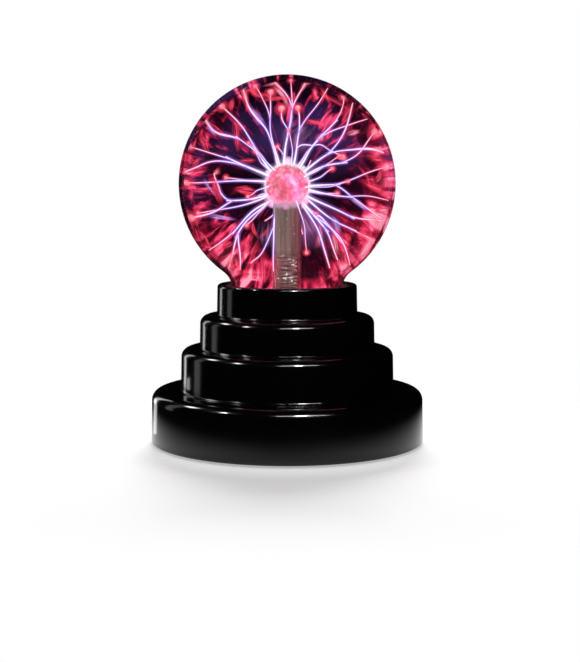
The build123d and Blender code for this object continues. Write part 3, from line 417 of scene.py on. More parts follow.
globe_glass, tree = new_material("globe_glass")
waves = object_noise(tree, 45.0, 2.0, 0.5, (1, 1, 0.4))
blown = add_node(tree, "BsdfPrincipled", {
    "Base Color": blend_colours(tree, waves, (0.985, 0.99, 0.99), (1.0, 1.0, 1.0)), "Roughness": 0.0,
    "IOR": 1.14, "Transmission Weight": 1.0, "Sheen Weight": 0.40, "Sheen Roughness": 0.10,
    "Sheen Tint": (1.0, 0.72, 0.84, 1.0), "Normal": raised(tree, waves, 0.0004, 0.05)})
to_surface(tree, clear_to_lamps(tree, blown, (0.96, 0.97, 0.97)))
dress(["glass_globe"], globe_glass)
globe_low, globe_high = (Vector(corner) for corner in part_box("glass_globe"))
globe_radius = (globe_high.x - globe_low.x) / 2
globe_centre = Vector((0.0, 0.0, globe_high.z - globe_radius))

# The stem's bore has a thin brown metal film, streaked along the tube, which thins out and
# stops over the coil.
stem_glass, tree = new_material("stem_glass")
film_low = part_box("contact_coil")[1][2]
film_fade = 0.0015
height = add_node(tree, "SeparateXYZ", {0: object_place(tree)}).outputs[2]
streaks = object_noise(tree, 520.0, 4.0, 0.65, (1, 1, 0.04))
above = in_range(tree, height, film_low - film_fade, film_low + film_fade, 0.16, 0.78)
cover = times(tree, above, in_range(tree, streaks, 0.3, 0.7, 0.72, 1.0))
# Painted glints: small near-white specks in the film's colour stand in for glints on the tube.
painted_glint = in_range(tree, object_noise(tree, 1500.0, 1.0), 0.70, 0.76, 0.0, 1.0)
streak_colour = blend_colours(tree, in_range(tree, streaks, 0.36, 0.64, 0.0, 1.0), (0.20, 0.18, 0.15),
                              (0.50, 0.47, 0.41))
smoke = add_node(tree, "BsdfPrincipled", {
    "Base Color": blend_colours(tree, painted_glint, streak_colour, (0.95, 0.93, 0.90)), "Roughness": 0.32,
    "Specular IOR Level": 0.5, "Normal": raised(tree, streaks, 0.0001, 0.4)})
tube = add_node(tree, "BsdfPrincipled", {
    "Base Color": (0.90, 0.88, 0.86, 1.0), "Roughness": 0.02, "IOR": 1.3, "Transmission Weight": 1.0})
coated = add_node(tree, "MixShader", {0: cover, 1: tube, 2: smoke})
to_surface(tree, clear_to_lamps(tree, coated, (0.8, 0.8, 0.8)))
dress(["glass_stem"], stem_glass)

# ---------------------------------------------------- inside the stem: lining and coil
# A rolled sleeve of brown conductive foil fills the upper part of the tube, and a springy wire coil below it
# carries the current up from the brass terminal, with painted glints glowing on its turns.
foil, tree = new_material("sleeve_foil")
streaks = object_noise(tree, 420.0, 4.0, 0.65, (1, 1, 0.05))
streak_colour = blend_colours(tree, in_range(tree, streaks, 0.35, 0.68, 0.0, 1.0), (0.16, 0.13, 0.105),
                              (0.42, 0.38, 0.33))
to_surface(tree, add_node(tree, "BsdfPrincipled", {
    "Base Color": streak_colour, "Metallic": 0.35,
    "Roughness": in_range(tree, object_noise(tree, 900.0, 2.0), 0.3, 0.7, 0.35, 0.6),
    "Normal": raised(tree, streaks, 0.0001, 0.6)}))
dress(["conductive_lining"], foil)
coil_wire = metal("coil_wire", (0.85, 0.84, 0.80), (0.45, 0.44, 0.40), 0.22, 1400.0)
tree = coil_wire.node_tree
wire_look = next(node for node in tree.nodes if node.type == "BSDF_PRINCIPLED")
# Painted glints: small spots of the wire glow white, standing in for glints on its turns.
painted_coil_glint = in_range(tree, object_noise(tree, 760.0, 1.0), 0.58, 0.68, 0.0, 1.0)
tree.links.new(blend_colours(tree, painted_coil_glint, (0.035, 0.035, 0.033), (0.95, 0.94, 0.90)),
               wire_look.inputs["Emission Color"])
wire_look.inputs["Emission Strength"].default_value = 1.0
dress(["contact_coil"], coil_wire)

# ------------------------------------------------------- adhesive, leads and insulation
# The neck is set in the collar with pale grey silicone. The high voltage lead has a soft white
# silicone skin, and the leads of the battery and the socket have red and black PVC.
uneven_skin, given, made = skin_group("uneven_skin")
patches = object_noise(uneven_skin, given["Scale"], 3.0, 0.6)
finish_skin(uneven_skin, given, made, blend_colours(uneven_skin, patches, given["Dark"], given["Light"]),
            in_range(uneven_skin, patches, 0.3, 0.7, 0.0, 0.15), raised(uneven_skin, patches, 0.00003, 0.5))


def soft_skin(name, dark, light, dullness, specular=0.4, scale=500.0):
    """Soft plastic, rubber or lacquer: two close colours, a dull gloss and a faint unevenness."""
    return skinned(name, uneven_skin, specular, 0.0, Dark=dark, Light=light, Dullness=dullness, Scale=scale)


dress(["neck_adhesive"], soft_skin("silicone", (0.24, 0.23, 0.22), (0.34, 0.33, 0.32), 0.45))
dress(["high_voltage_lead", "switch_leads"],
      soft_skin("white_insulation", (0.60, 0.59, 0.56), (0.74, 0.73, 0.70), 0.40))
dress(["battery_lead_red", "socket_lead_red"],
      soft_skin("red_insulation", (0.35, 0.010, 0.008), (0.48, 0.018, 0.012), 0.38))
dress(["battery_lead_black", "socket_lead_black"],
      soft_skin("black_insulation", (0.010, 0.010, 0.010), (0.022, 0.022, 0.022), 0.38))

# ----------------------------------------------------------------- driver circuit board
# A phenolic paper board in pale brown, with a little ferrite transformer, capacitors,
# lacquered resistors and diodes, and a transistor screwed to a folded aluminium plate.
for name, title, dark, light, dullness, specular in (
        ("circuit_board", "board_laminate", (0.30, 0.17, 0.065), (0.38, 0.23, 0.09), 0.5, 0.4),
        ("transformer_core", "ferrite", (0.018, 0.017, 0.017), (0.034, 0.032, 0.031), 0.55, 0.4),
        ("transformer_bobbin", "bobbin_plastic", (0.010, 0.010, 0.010), (0.020, 0.020, 0.020), 0.35, 0.4),
        ("transformer_winding", "winding_tape", (0.62, 0.42, 0.03), (0.74, 0.52, 0.06), 0.30, 0.5),
        ("driver_transistor", "epoxy", (0.012, 0.012, 0.012), (0.022, 0.022, 0.022), 0.5, 0.4),
        ("electrolytic_capacitors", "can_sleeve", (0.010, 0.018, 0.06), (0.016, 0.028, 0.09), 0.25, 0.5),
        ("film_capacitor", "film_case", (0.16, 0.035, 0.012), (0.24, 0.055, 0.02), 0.3, 0.5),
        ("diodes", "diode_body", (0.012, 0.011, 0.011), (0.022, 0.020, 0.020), 0.3, 0.4)):
    dress([name], soft_skin(title, dark, light, dullness, specular))
resistor_look, tree = new_material("resistor_lacquer")
lacquer = object_noise(tree, 900.0, 2.0)
to_surface(tree, add_node(tree, "BsdfPrincipled", {
    "Base Color": blend_colours(tree, lacquer, (0.42, 0.27, 0.12), (0.52, 0.36, 0.18)),
    "Roughness": in_range(tree, lacquer, 0.3, 0.7, 0.3, 0.45)}))
dress(["resistors"], resistor_look)

# ------------------------------------------------------------------------ rear controls
# A slide switch with a black nylon body and a ribbed knob, and a moulded power socket beside
# it, both in the recess at the rear.
dress(["switch_body"], grained("switch_nylon", (0.010, 0.010, 0.010), (0.018, 0.018, 0.018), 0.5, 3000.0))
dress(["switch_knob"], grained("knob_nylon", (0.020, 0.020, 0.021), (0.034, 0.034, 0.035), 0.42, 3200.0))
dress(["socket_body"], grained("socket_nylon", (0.010, 0.010, 0.011), (0.017, 0.017, 0.018), 0.46, 3000.0))

# -------------------------------------------------------------------------- dry cells
# Four plain dry cells in a shrunk plastic jacket, with no lettering on them. They lie in the
# tray behind the door.
dress(["battery_cells"], soft_skin("cell_jacket", (0.030, 0.032, 0.036), (0.060, 0.062, 0.068), 0.28, 0.5))

# ------------------------------------------------------------------- glow on the glass
# A thin film inside the ball, painted near black as painted shade that darkens the inside of the ball, and
# carrying the red and pink light that the discharge throws on it.
# Its faces point inwards on purpose: it is drawn as seen from the gas, and is clear from outside.
film_gap = 0.0001
film_radius = globe_radius - film_gap
film_end = 0.0525
neck_radius = 0.0195
neck_blend = 0.008        # the hollow curve between the ball and its neck
blend_centre = neck_radius + neck_blend
blend_z = globe_centre.z - math.sqrt((globe_radius + neck_blend) ** 2 - blend_centre ** 2)
blend_reach = neck_blend + film_gap
meet = math.atan2(globe_centre.z - blend_z, blend_centre)
arc_steps = 44
blend_steps = 10
round_steps = 96
outline = []
for step in range(arc_steps + 1):
    angle = math.pi / 2 + (-meet - math.pi / 2) * step / arc_steps
    outline.append((film_radius * math.cos(angle), globe_centre.z + film_radius * math.sin(angle)))
for step in range(1, blend_steps + 1):
    angle = (math.pi - meet) + meet * step / blend_steps
    outline.append((blend_centre + blend_reach * math.cos(angle), blend_z + blend_reach * math.sin(angle)))
outline.append((neck_radius - film_gap, film_end))
film = bmesh.new()
corners = [film.verts.new((max(r, 0.0), 0.0, z)) for r, z in outline]
edges = [film.edges.new(pair) for pair in zip(corners, corners[1:])]
bmesh.ops.spin(film, geom=corners + edges, cent=(0, 0, 0), axis=(0, 0, 1), angle=math.tau,
               steps=round_steps, use_merge=True)
bmesh.ops.remove_doubles(film, verts=film.verts, dist=1e-6)
bmesh.ops.recalc_face_normals(film, faces=film.faces)
film.faces.ensure_lookup_table()
probe = film.faces[0]
if probe.normal.dot(probe.calc_center_median() - globe_centre) > 0:
    bmesh.ops.reverse_faces(film, faces=film.faces)
painted_shade_glow_film = in_scene("painted_shade_glow_film", into_mesh(film, "painted_shade_glow_film", smooth=True))

ball_reach, given, made = new_group("ball_reach", {"Centre": "Vector", "Radius": "Float"},
                                    {"Direction": "Vector", "Reach": "Float"})
moved = add_node(ball_reach, "VectorMath", {0: object_place(ball_reach), 1: given["Centre"]},
                 operation="SUBTRACT")
share = maths(ball_reach, "DIVIDE", 1.0, given["Radius"])
scaled = add_node(ball_reach, "VectorMath", {0: moved, "Scale": share}, operation="SCALE")
ball_reach.links.new(scaled.outputs[0], made["Direction"])
ball_reach.links.new(length_of(ball_reach, scaled), made["Reach"])


def from_centre(tree):
    """The Direction from the ball's centre, and the Reach: that distance in globe radii."""
    return place_group(tree, ball_reach, Centre=globe_centre, Radius=globe_radius)


def distance_to(tree, direction, spot):
    """The distance between direction and that spot, both in globe radii."""
    return add_node(tree, "VectorMath", {0: direction, 1: spot}, operation="DISTANCE").outputs["Value"]


def ramp(tree, value, stops):
    """A colour ramp through (position, colour) stops. Returns the colour."""
    node = add_node(tree, "ValToRGB", {0: value})
    marks = node.color_ramp.elements
    while len(marks) < len(stops):
        marks.new(0.5)
    for mark, (position, colour) in zip(marks, stops):
        mark.position = position
        mark.color = (*colour, 1.0)
    return node.outputs[0]


def both_lights(tree, first, second):
    """The two colours of light together."""
    return add_node(tree, "Mix", {0: 1.0, 6: first, 7: second}, data_type="RGBA",
                    blend_type="ADD").outputs[2]


def one_way(tree, shader):
    """That shader on the front of each face. From behind the face is clear."""
    side = add_node(tree, "NewGeometry").outputs["Backfacing"]
    return add_node(tree, "MixShader", {0: side, 1: shader, 2: add_node(tree, "BsdfTransparent")})


film_look, tree = new_material("painted_shade_glow_film")
film_look.use_backface_culling = True
direction = from_centre(tree)["Direction"]
apart = add_node(tree, "SeparateXYZ", {0: direction}).outputs
rightward, upward = apart[0], apart[2]
# Streaks run outwards from the line through the front and back of the ball, so their noise is
# laid out by the bearing round that line and by spread, the distance from it.
flat = add_node(tree, "CombineXYZ", {0: rightward, 2: upward})
spread = length_of(tree, flat)
bearing = add_node(tree, "VectorMath", {0: flat}, operation="NORMALIZE")
fanned = add_node(tree, "VectorMath", {0: bearing, "Scale": 4.7}, operation="SCALE")
outward = add_node(tree, "CombineXYZ", {1: times(tree, spread, 1.8)})
streak_place = add_node(tree, "VectorMath", {0: fanned, 1: outward}, operation="ADD")
streak_noise = noise_at(tree, streak_place, 1.9, 4.0, 0.50, 0.7)
gate = maths(tree, "ADD", streak_noise, in_range(tree, upward, 0.40, -0.40, -0.02, 0.052))
gate = maths(tree, "ADD", gate, in_range(tree, rightward, 0.1, 0.8, 0.0, 0.055))
streaks = in_range(tree, gate, 0.495, 0.66, 0.0, 1.0)
clouds = in_range(tree, noise_at(tree, direction, 1.9, distortion=0.5), 0.39, 0.57, 0.06, 1.0)
# Three parts of the glass stay dark: low on both sides of the stem, and high on the right.
for window, clear_to, full_from in (((0.27, 0.60, -0.75), 0.16, 0.38), ((-0.17, 0.76, -0.62), 0.03, 0.22),
                                    ((0.50, 0.15, 0.84), 0.08, 0.36)):
    off = distance_to(tree, direction, window)
    clouds = times(tree, clouds, in_range(tree, off, clear_to, full_from, 0.04, 1.0))
patches = times(tree, times(tree, streaks, clouds), in_range(tree, spread, 0.25, 0.90, 0.10, 1.0))
hair_noise = noise_at(tree, streak_place, 2.3, 0.0, distortion=0.9)
ridge = maths(tree, "ABSOLUTE", maths(tree, "SUBTRACT", hair_noise, 0.5))
hairs = times(tree, in_range(tree, ridge, 0.0, 0.014, 0.30, 0.0),
              in_range(tree, spread, 0.45, 0.85, 0.0, 1.0))
# The right, the left and the lower parts are never quite dark: a dull red lies over the glass.
dull_red = 0.0
for way, start, full, share in ((rightward, 0.35, 0.85, 0.18), (rightward, -0.40, -0.90, 0.09),
                                (upward, -0.15, -0.65, 0.10)):
    dull_red = maths(tree, "ADD", dull_red, in_range(tree, way, start, full, 0.0, share))
dull_red = times(tree, dull_red, in_range(tree, clouds, 0.0, 0.25, 0.30, 1.0))
lit_share = maths(tree, "ADD", maths(tree, "ADD", patches, hairs), dull_red)
red = ramp(tree, lit_share, ((0.0, (0.0030, 0.0008, 0.0040)), (0.10, (0.020, 0.0012, 0.006)),
                             (0.34, (0.27, 0.007, 0.030)), (0.60, (0.80, 0.040, 0.115)),
                             (0.85, (1.0, 0.13, 0.26)), (1.0, (1.0, 0.36, 0.50))))
haze = times(tree, in_range(tree, noise_at(tree, direction, 1.7, 1.0), 0.42, 0.70, 0.0, 1.0),
             in_range(tree, upward, -0.45, 0.0, 0.0, 1.0))
haze_light = blend_colours(tree, haze, (0.0, 0.0, 0.0), (0.027, 0.013, 0.074))
# A violet patch of light lies on the glass behind the stem, on its right.
patch = in_range(tree, distance_to(tree, direction, (0.25, 0.86, -0.40)), 0.08, 0.30, 1.0, 0.0)
patch = times(tree, patch, in_range(tree, streak_noise, 0.35, 0.60, 0.55, 1.0))
patch_light = blend_colours(tree, patch, (0.0, 0.0, 0.0), (0.155, 0.042, 0.150))
# The film's near-black base colour is painted shade: it darkens the inside of the ball.
to_surface(tree, one_way(tree, add_node(tree, "BsdfPrincipled", {
    "Base Color": (0.004, 0.002, 0.006, 1.0), "Roughness": 0.6, "Specular IOR Level": 0.0,
    "Emission Color": both_lights(tree, red, both_lights(tree, haze_light, patch_light)),
    "Emission Strength": 1.1})))
painted_shade_glow_film.data.materials.append(film_look)
painted_shade_glow_film.visible_diffuse = False
painted_shade_glow_film.visible_shadow = False
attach(painted_shade_glow_film, "body")

# ------------------------------------------------------------------- electrode ball
# A small sealed glass ball coated inside, which glows a mottled pink where the discharge
# leaves it, with a short bright fuzz of sparks all over it.
electrode_low, electrode_high = (Vector(corner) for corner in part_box("electrode_ball"))
electrode_radius = (electrode_high.x - electrode_low.x) / 2
electrode_centre = Vector((0.0, 0.0, electrode_high.z - electrode_radius))
electrode_look, tree = new_material("electrode_glow")
mottled = ramp(tree, noise_at(tree, object_place(tree), 135.0, distortion=0.4), (
    (0.30, (0.60, 0.005, 0.045)), (0.44, (0.86, 0.016, 0.11)), (0.54, (0.96, 0.050, 0.29)),
    (0.63, (1.0, 0.26, 0.66)), (0.73, (1.0, 0.85, 1.0))))
to_surface(tree, add_node(tree, "BsdfPrincipled", {
    "Base Color": (0.10, 0.02, 0.03, 1.0), "Roughness": 0.4, "Specular IOR Level": 0.1,
    "Emission Color": mottled, "Emission Strength": 1.08}))
dress(["electrode_ball"], electrode_look)

# ------------------------------------------------------------------------- sparks
# Thin branching threads of glowing gas that run from the electrode to the glass. They are
# white and lilac near the electrode, violet further out and pink where they meet the glass.
dice = random.Random(7)
thread_reach = 0.955      # threads end at this share of the globe's radius
thread_root = 0.18        # and start at this one, on the electrode
knot_step = 0.0024
knot_sway = 0.00050


def glow_material(name, stops, strength, share):
    """Light given off by gas, coloured by the distance from the middle. share is its cover."""
    material, tree = new_material(name)
    light = add_node(tree, "Emission", {"Color": ramp(tree, from_centre(tree)["Reach"], stops),
                                        "Strength": strength})
    if share < 1.0:
        light = add_node(tree, "MixShader", {0: share, 1: add_node(tree, "BsdfTransparent"), 2: light})
    to_surface(tree, light)
    material.cycles.emission_sampling = "NONE"
    return material


def on_glass(bearing, reach, side):
    """The point at that bearing and reach, seen from the front, pushed to the glass on that side.
    bearing is in degrees round the front view, reach in globe radii, side -1 front or 1 back."""
    angle = math.radians(bearing)
    reach = min(reach, thread_reach)
    depth = side * math.sqrt(max(thread_reach ** 2 - reach ** 2, 0.0))
    return globe_centre + Vector((reach * math.cos(angle), depth, reach * math.sin(angle))) * globe_radius


def strand(steps, side, start=None, deep=1.0):
    """A thread's main points. steps are (bearing, reach) from the electrode out, or from start."""
    rise = (on_glass(*steps[-1], side).y - globe_centre.y) * deep
    points = [start.copy()] if start else []
    first = start.y if start else 0.0
    count = len(steps) - (0 if start else 1)
    for index, step in enumerate(steps, start=1 if start else 0):
        flat = on_glass(*step, 0)
        points.append(Vector((flat.x, first + (rise - first) * index / max(count, 1), flat.z)))
    for point in points:
        away = point - globe_centre
        if away.length > thread_reach * globe_radius:
            point.xyz = globe_centre + away.normalized() * thread_reach * globe_radius
    return points


def wander(points, lead=None):
    """A soft wandering run through points, and the places of the points in it. lead is a point
    before the first, so that the run leaves it smoothly."""
    run = [points[0]]
    places = [0]
    for first, last in zip(points, points[1:]):
        parts = max(1, round((last - first).length / knot_step))
        for index in range(1, parts + 1):
            spot = first.lerp(last, index / parts)
            if index < parts:
                spot += Vector([dice.uniform(-knot_sway, knot_sway) for axis in range(3)])
            run.append(spot)
        places.append(len(run) - 1)
    if lead:
        run = [lead] + run
        places = [place + 1 for place in places]
    for turn in range(3):
        middles = [(before + spot * 2 + after) / 4 for before, spot, after in zip(run, run[1:], run[2:])]
        run = [run[0]] + middles + [run[-1]]
    return run, places


def width_at(widths, share):
    """The width at that share of the way from the first of widths to the last."""
    place = share * (len(widths) - 1)
    low = min(int(place), len(widths) - 2)
    return widths[low] + (widths[low + 1] - widths[low]) * (place - low)


def light_piece(name, data, material):
    """A piece of light in the ball. It isn't mirrored, and it lights and shades nothing."""
    data.materials.append(material)
    piece = in_scene(name, data)
    piece.visible_diffuse = False
    piece.visible_glossy = False
    piece.visible_shadow = False
    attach(piece, "body")


def lay_threads(name, runs, depth, material):
    """One curve object with a tube along each run. A run is (points, widths)."""
    curve = bpy.data.curves.new(name, "CURVE")
    curve.dimensions = "3D"
    curve.bevel_depth = depth
    curve.bevel_resolution = 1
    curve.resolution_u = 3
    curve.use_fill_caps = True
    for points, widths in runs:
        spline = curve.splines.new("NURBS")
        spline.points.add(len(points) - 1)
        for index, (knot, spot) in enumerate(zip(spline.points, points)):
            knot.co = (*spot, 1.0)
            knot.radius = width_at(widths, index / (len(points) - 1))
        spline.order_u = 4
        spline.use_endpoint_u = True
    light_piece(name, curve, material)


runs = []          # (points, widths, kind of end, size of the end)


def spark(steps, side, start=None, widths=(1.5, 1.0, 0.75, 0.6), end="thread", size=1.0, deep=1.0):
    """Adds a thread and returns its joints, so that another can branch off it. A joint is a
    point of the thread and the point before it."""
    joint, lead = start or (None, None)
    if start is None:
        steps = [(steps[0][0], thread_root)] + steps[1:]
    run, places = wander(strand(steps, side, joint, deep), lead)
    runs.append((run, widths, end, size))
    return [(run[place], run[max(place - 1, 0)]) for place in places]


front, back = -1, 1
crown = spark([(99, .2), (92, .37), (87, .51), (86, .73)], front, widths=(1.7, 1.3, 1.2, 1.0), deep=0.26)
spark([(87, .83), (88, .96)], front, crown[3], (1.0, 0.7, 0.5), "bulb", 0.8)
spark([(82, .83), (80, .90)], front, crown[3], (1.0, 0.8), "fan", 1.3)
spark([(91, .84), (97, .95)], back, crown[3], (0.8, 0.9, 1.0), "fan", 1.5)
spark([(91, .50), (95, .58), (94, .66)], front, crown[2], (1.0, 0.8, 0.8), "bulb", 1.3)
spark([(85, .60), (87, .73)], front, crown[2], (0.8, 0.6), "thread", 1.0, 0.26)
top_right = spark([(71, .23), (76, .38), (77, .54)], front, widths=(1.5, 1.1, 1.0), deep=0.30)
spark([(80, .61), (82, .67)], front, top_right[2], (0.9, 0.8), "bulb", 1.1)
spark([(71, .69), (68, .79), (67, .98)], front, top_right[2], (0.8, 0.7, 0.7, 0.6), "fan", 0.9)
top_left = spark([(112, .22), (109, .45), (103, .67)], front, widths=(1.3, 0.9, 0.8), deep=0.30)
spark([(101, .76), (100, .82)], front, top_left[2], (0.8, 0.7), "bulb", 1.2)
spark([(106, .81), (108, .97)], front, top_left[2], (0.8, 0.6, 0.6), "bulb", 1.0)
top_left_back = spark([(117, .22), (110, .53), (115, .67)], back, widths=(1.2, 0.9, 1.6), deep=0.34)
spark([(117, .85), (115, .96)], back, top_left_back[2], (2.2, 1.4, 1.0), "fan", 1.2)
upper_left = spark([(142, .23), (134, .38), (130, .50)], front, widths=(1.5, 1.2, 1.0), deep=0.26)
spark([(128, .72), (130, .90)], front, upper_left[2], (1.0, 0.9, 0.8), "bulb", 1.3)
upper_left_side = spark([(135, .50), (137, .63)], front, upper_left[1], (1.0, 0.8, 0.8), "thread", 1.0, 0.40)
spark([(145, .77), (143, .91), (142, .99)], back, upper_left_side[2], (0.8, 2.0, 1.2, 0.8), "fan", 1.1)
left_high = spark([(155, .22), (157, .45), (156, .61)], front, widths=(2.0, 1.5, 1.2), deep=0.26)
spark([(158, .78), (159, .94)], front, left_high[2], (1.0, 0.8, 0.7), "bulb", 1.0)
spark([(161, .68), (164, .77), (170, .84), (173, .98)], front, left_high[1], (1.2, 1.2, 1.0, 1.0, 1.2),
      "thread")
left_level = spark([(171, .23), (176, .42), (178, .64)], front, widths=(1.3, 1.1, 1.0), deep=0.30)
spark([(179, .78), (179, .90)], front, left_level[2], (0.9, 0.8, 0.7), "bulb", 1.1)
left_low = spark([(210, .22), (201, .41), (195, .57)], front, widths=(1.6, 1.3, 1.1), deep=0.26)
spark([(188, .62), (180, .66), (172, .72)], back, left_low[2], (0.9, 1.3, 0.8), "fan", 0.9)
spark([(202, .66), (200, .80), (199, .93)], front, left_low[2], (1.0, 1.2, 1.6), "bulb", 1.4)
spark([(212, .23), (206, .45), (200, .7), (198, .90)], back, widths=(1.3, 1.0, 0.9, 0.8), end="bulb",
      size=1.0)
low_left = spark([(228, .22), (217, .44), (222, .67)], front, widths=(1.5, 1.2, 1.0), deep=0.30)
spark([(221, .84), (220, .97)], front, low_left[2], (0.9, 0.8, 0.7), "thread")
low_left_back = spark([(226, .24), (221, .55), (226, .70)], back, widths=(1.2, 1.1, 1.4), deep=0.30)
spark([(239, .83), (241, .93)], back, low_left_back[2], (1.3, 1.0, 0.8), "fan", 1.5)
spark([(233, .85), (235, .96)], back, low_left_back[2], (1.3, 1.0, 0.8), "fan", 1.3)
spark([(237, .24), (250, .36), (257, .58), (261, .80)], front, widths=(1.3, 1.2, 1.0, 0.7), deep=0.34)
spark([(258, .62), (250, .72), (245, .84)], back, widths=(0.7, 0.8, 0.8), end="fan", size=0.9)
upper_right = spark([(53, .25), (57, .39), (55, .55)], front, widths=(1.5, 1.1, 1.0), deep=0.26)
upper_right_out = spark([(52, .73)], front, upper_right[2], (1.0, 0.9), deep=0.5)
spark([(55, .90), (57, .97)], front, upper_right_out[1], (0.9, 0.7, 0.6), "bulb", 1.1)
spark([(43, .80), (41, .88), (39, .98)], back, upper_right[2], (0.9, 0.8, 0.7, 0.6), "thread")
right_high = spark([(36, .22), (38, .40), (36, .51)], front, widths=(1.5, 1.2, 1.0), deep=0.26)
spark([(42, .69), (46, .81), (51, .94)], front, right_high[2], (1.0, 0.9, 1.1, 0.8), "fan", 1.4)
spark([(55, .43), (49, .50), (38, .51), (26, .61)], back, top_right[1], (0.9, 0.8, 0.8, 0.8, 0.7), "bulb",
      1.0)
right_rising = spark([(25, .24), (27, .40), (20, .58)], front, widths=(1.6, 1.3, 1.1), deep=0.26)
spark([(22, .71), (28, .81), (31, .92)], front, right_rising[2], (1.0, 0.9, 0.8, 0.7), "bulb", 1.3)
spark([(31, .60), (24, .83), (18, .95)], back, right_high[2], (1.0, 1.0, 2.0, 1.0), "fan", 1.3)
right_level = spark([(355, .23), (0, .34), (0, .48)], front, widths=(1.6, 1.2, 1.0), deep=0.26)
spark([(8, .72), (10, .90)], front, right_level[2], (0.9, 0.8, 0.7), "bulb", 1.3)
right_low = spark([(346, .24), (346, .42), (349, .61)], front, widths=(1.5, 1.1, 0.9), deep=0.26)
spark([(352, .72), (351, .97)], front, right_low[2], (0.9, 0.7, 0.6), "thread")
spark([(348, .62), (343, .79), (340, .95)], back, right_level[2], (1.0, 1.0, 0.9, 0.8), "fan", 1.0)
low_right = spark([(328, .24), (332, .43), (333, .69)], front, widths=(1.8, 1.3, 1.1), deep=0.26)
spark([(337, .80), (339, .90)], front, low_right[2], (1.0, 0.9, 0.8), "fan", 1.1)
low_right_outer = spark([(324, .25), (321, .53), (326, .76)], front, widths=(1.4, 1.1, 0.9), deep=0.30)
spark([(327, .97)], front, low_right_outer[2], (0.9, 0.6), "bulb", 0.8)
bottom_right = spark([(311, .24), (311, .42), (311, .57)], front, widths=(1.8, 1.4, 1.2), deep=0.30)
spark([(307, .68), (304, .80)], front, bottom_right[2], (1.2, 1.0, 0.8), "fan", 1.0)
spark([(316, .40), (315, .60), (313, .79)], back, bottom_right[1], (1.2, 1.3, 1.4, 1.0), "fan", 1.2)
spark([(308, .26), (306, .50), (300, .70), (297, .90)], back, widths=(1.4, 1.1, 1.3, 0.9), end="fan",
      size=1.4)
spark([(315, .52), (316, .72), (308, .97)], back, bottom_right[1], (1.0, 1.1, 1.0, 0.8), "fan", 1.2)

# Threads towards the front and back of the ball and up over its top, each from its own root.
thread_count = 26
root_reach = 0.17
root_depth = 0.0050
for index in range(thread_count):
    turn = (index + dice.uniform(0.2, 0.8)) * 360.0 / thread_count
    side = front if index % 2 else back
    reach = dice.uniform(0.30, 0.62)
    root = on_glass(turn, root_reach, 0)
    root.y = side * root_depth
    bend = dice.uniform(-16, 16)
    steps = [(turn + bend * 0.4, 0.20 + (reach - 0.20) * 0.45), (turn + bend, reach)]
    if side == back:
        spark(steps, side, (root, root), (1.2, 1.0, 0.8, 0.7), dice.choice(("bulb", "fan")),
              dice.uniform(0.7, 1.2))
    elif index % 4 == 1 and abs(turn - 270) > 24:
        spark(steps, side, (root, root), (0.9, 0.7, 0.55, 0.45), "bulb", dice.uniform(0.5, 0.8))

# Colours by the distance from the middle, from the electrode to the glass.
near, far = 0.20, 0.95
core_stops = ((near, (1.0, 0.92, 1.0)), (0.36, (0.98, 0.86, 1.0)), (0.60, (0.92, 0.74, 1.0)),
              (0.80, (1.0, 0.74, 0.92)), (far, (1.0, 0.62, 0.72)))
sheath_stops = ((near, (0.86, 0.60, 1.0)), (0.36, (0.50, 0.26, 0.95)), (0.60, (0.34, 0.16, 0.85)),
                (0.80, (0.80, 0.12, 0.42)), (far, (0.95, 0.06, 0.16)))
thread_core = 0.00019     # radius of a thread's three layers, where its width is 1
thread_sheath = 0.00041
thread_haze = 0.00080
threads = [(run, widths) for run, widths, end, size in runs]
lay_threads("spark_cores", threads, thread_core, glow_material("spark_core", core_stops, 1.6, 1.0))
lay_threads("spark_sheaths", threads, thread_sheath, glow_material("spark_sheath", sheath_stops, 1.05, 0.29))
lay_threads("spark_haze", threads, thread_haze, glow_material("spark_haze", sheath_stops, 0.9, 0.09))

# ------------------------------------------------------------------------- beads
# Where the threads meet the glass they end in a bright pink bead, or open into a red fan. A
# bead is a small bright core in a nest of larger and fainter balls.
bead_stops = ((near, (1.0, 0.75, 1.0)), (0.80, (1.0, 0.66, 0.80)), (far, (1.0, 0.52, 0.60)))
heart_stops = ((near, (1.0, 0.45, 0.90)), (0.70, (1.0, 0.40, 0.62)), (far, (1.0, 0.26, 0.34)))
halo_stops = ((near, (1.0, 0.30, 0.70)), (0.60, (1.0, 0.16, 0.34)), (far, (0.95, 0.05, 0.12)))
inside = 0.965 * globe_radius      # nothing in the gas comes nearer to the glass


def gather(name, shapes, material):
    """One mesh object of many small balls, each a unit ball sized and placed by a matrix."""
    ball = bmesh.new()
    bmesh.ops.create_uvsphere(ball, u_segments=14, v_segments=9, radius=1.0)
    unit_ball = into_mesh(ball, "unit_ball", smooth=True)
    pool = bmesh.new()
    for matrix in shapes:
        placed = unit_ball.copy()
        placed.transform(matrix)
        pool.from_mesh(placed)
        bpy.data.meshes.remove(placed)
    bpy.data.meshes.remove(unit_ball)
    for vert in pool.verts:
        away = vert.co - globe_centre
        if away.length > inside:
            vert.co = globe_centre + away.normalized() * inside
    light_piece(name, into_mesh(pool, name, smooth=True), material)


def ball_at(spot, radius, drawn_out=1.0, course=Vector((0, 0, 1))):
    """The matrix of a ball of that radius at spot, drawn out along course."""
    turned = course.to_track_quat("Z", "Y").to_matrix().to_4x4()
    return Matrix.Translation(spot) @ turned @ Matrix.Diagonal((radius, radius, radius * drawn_out, 1.0))


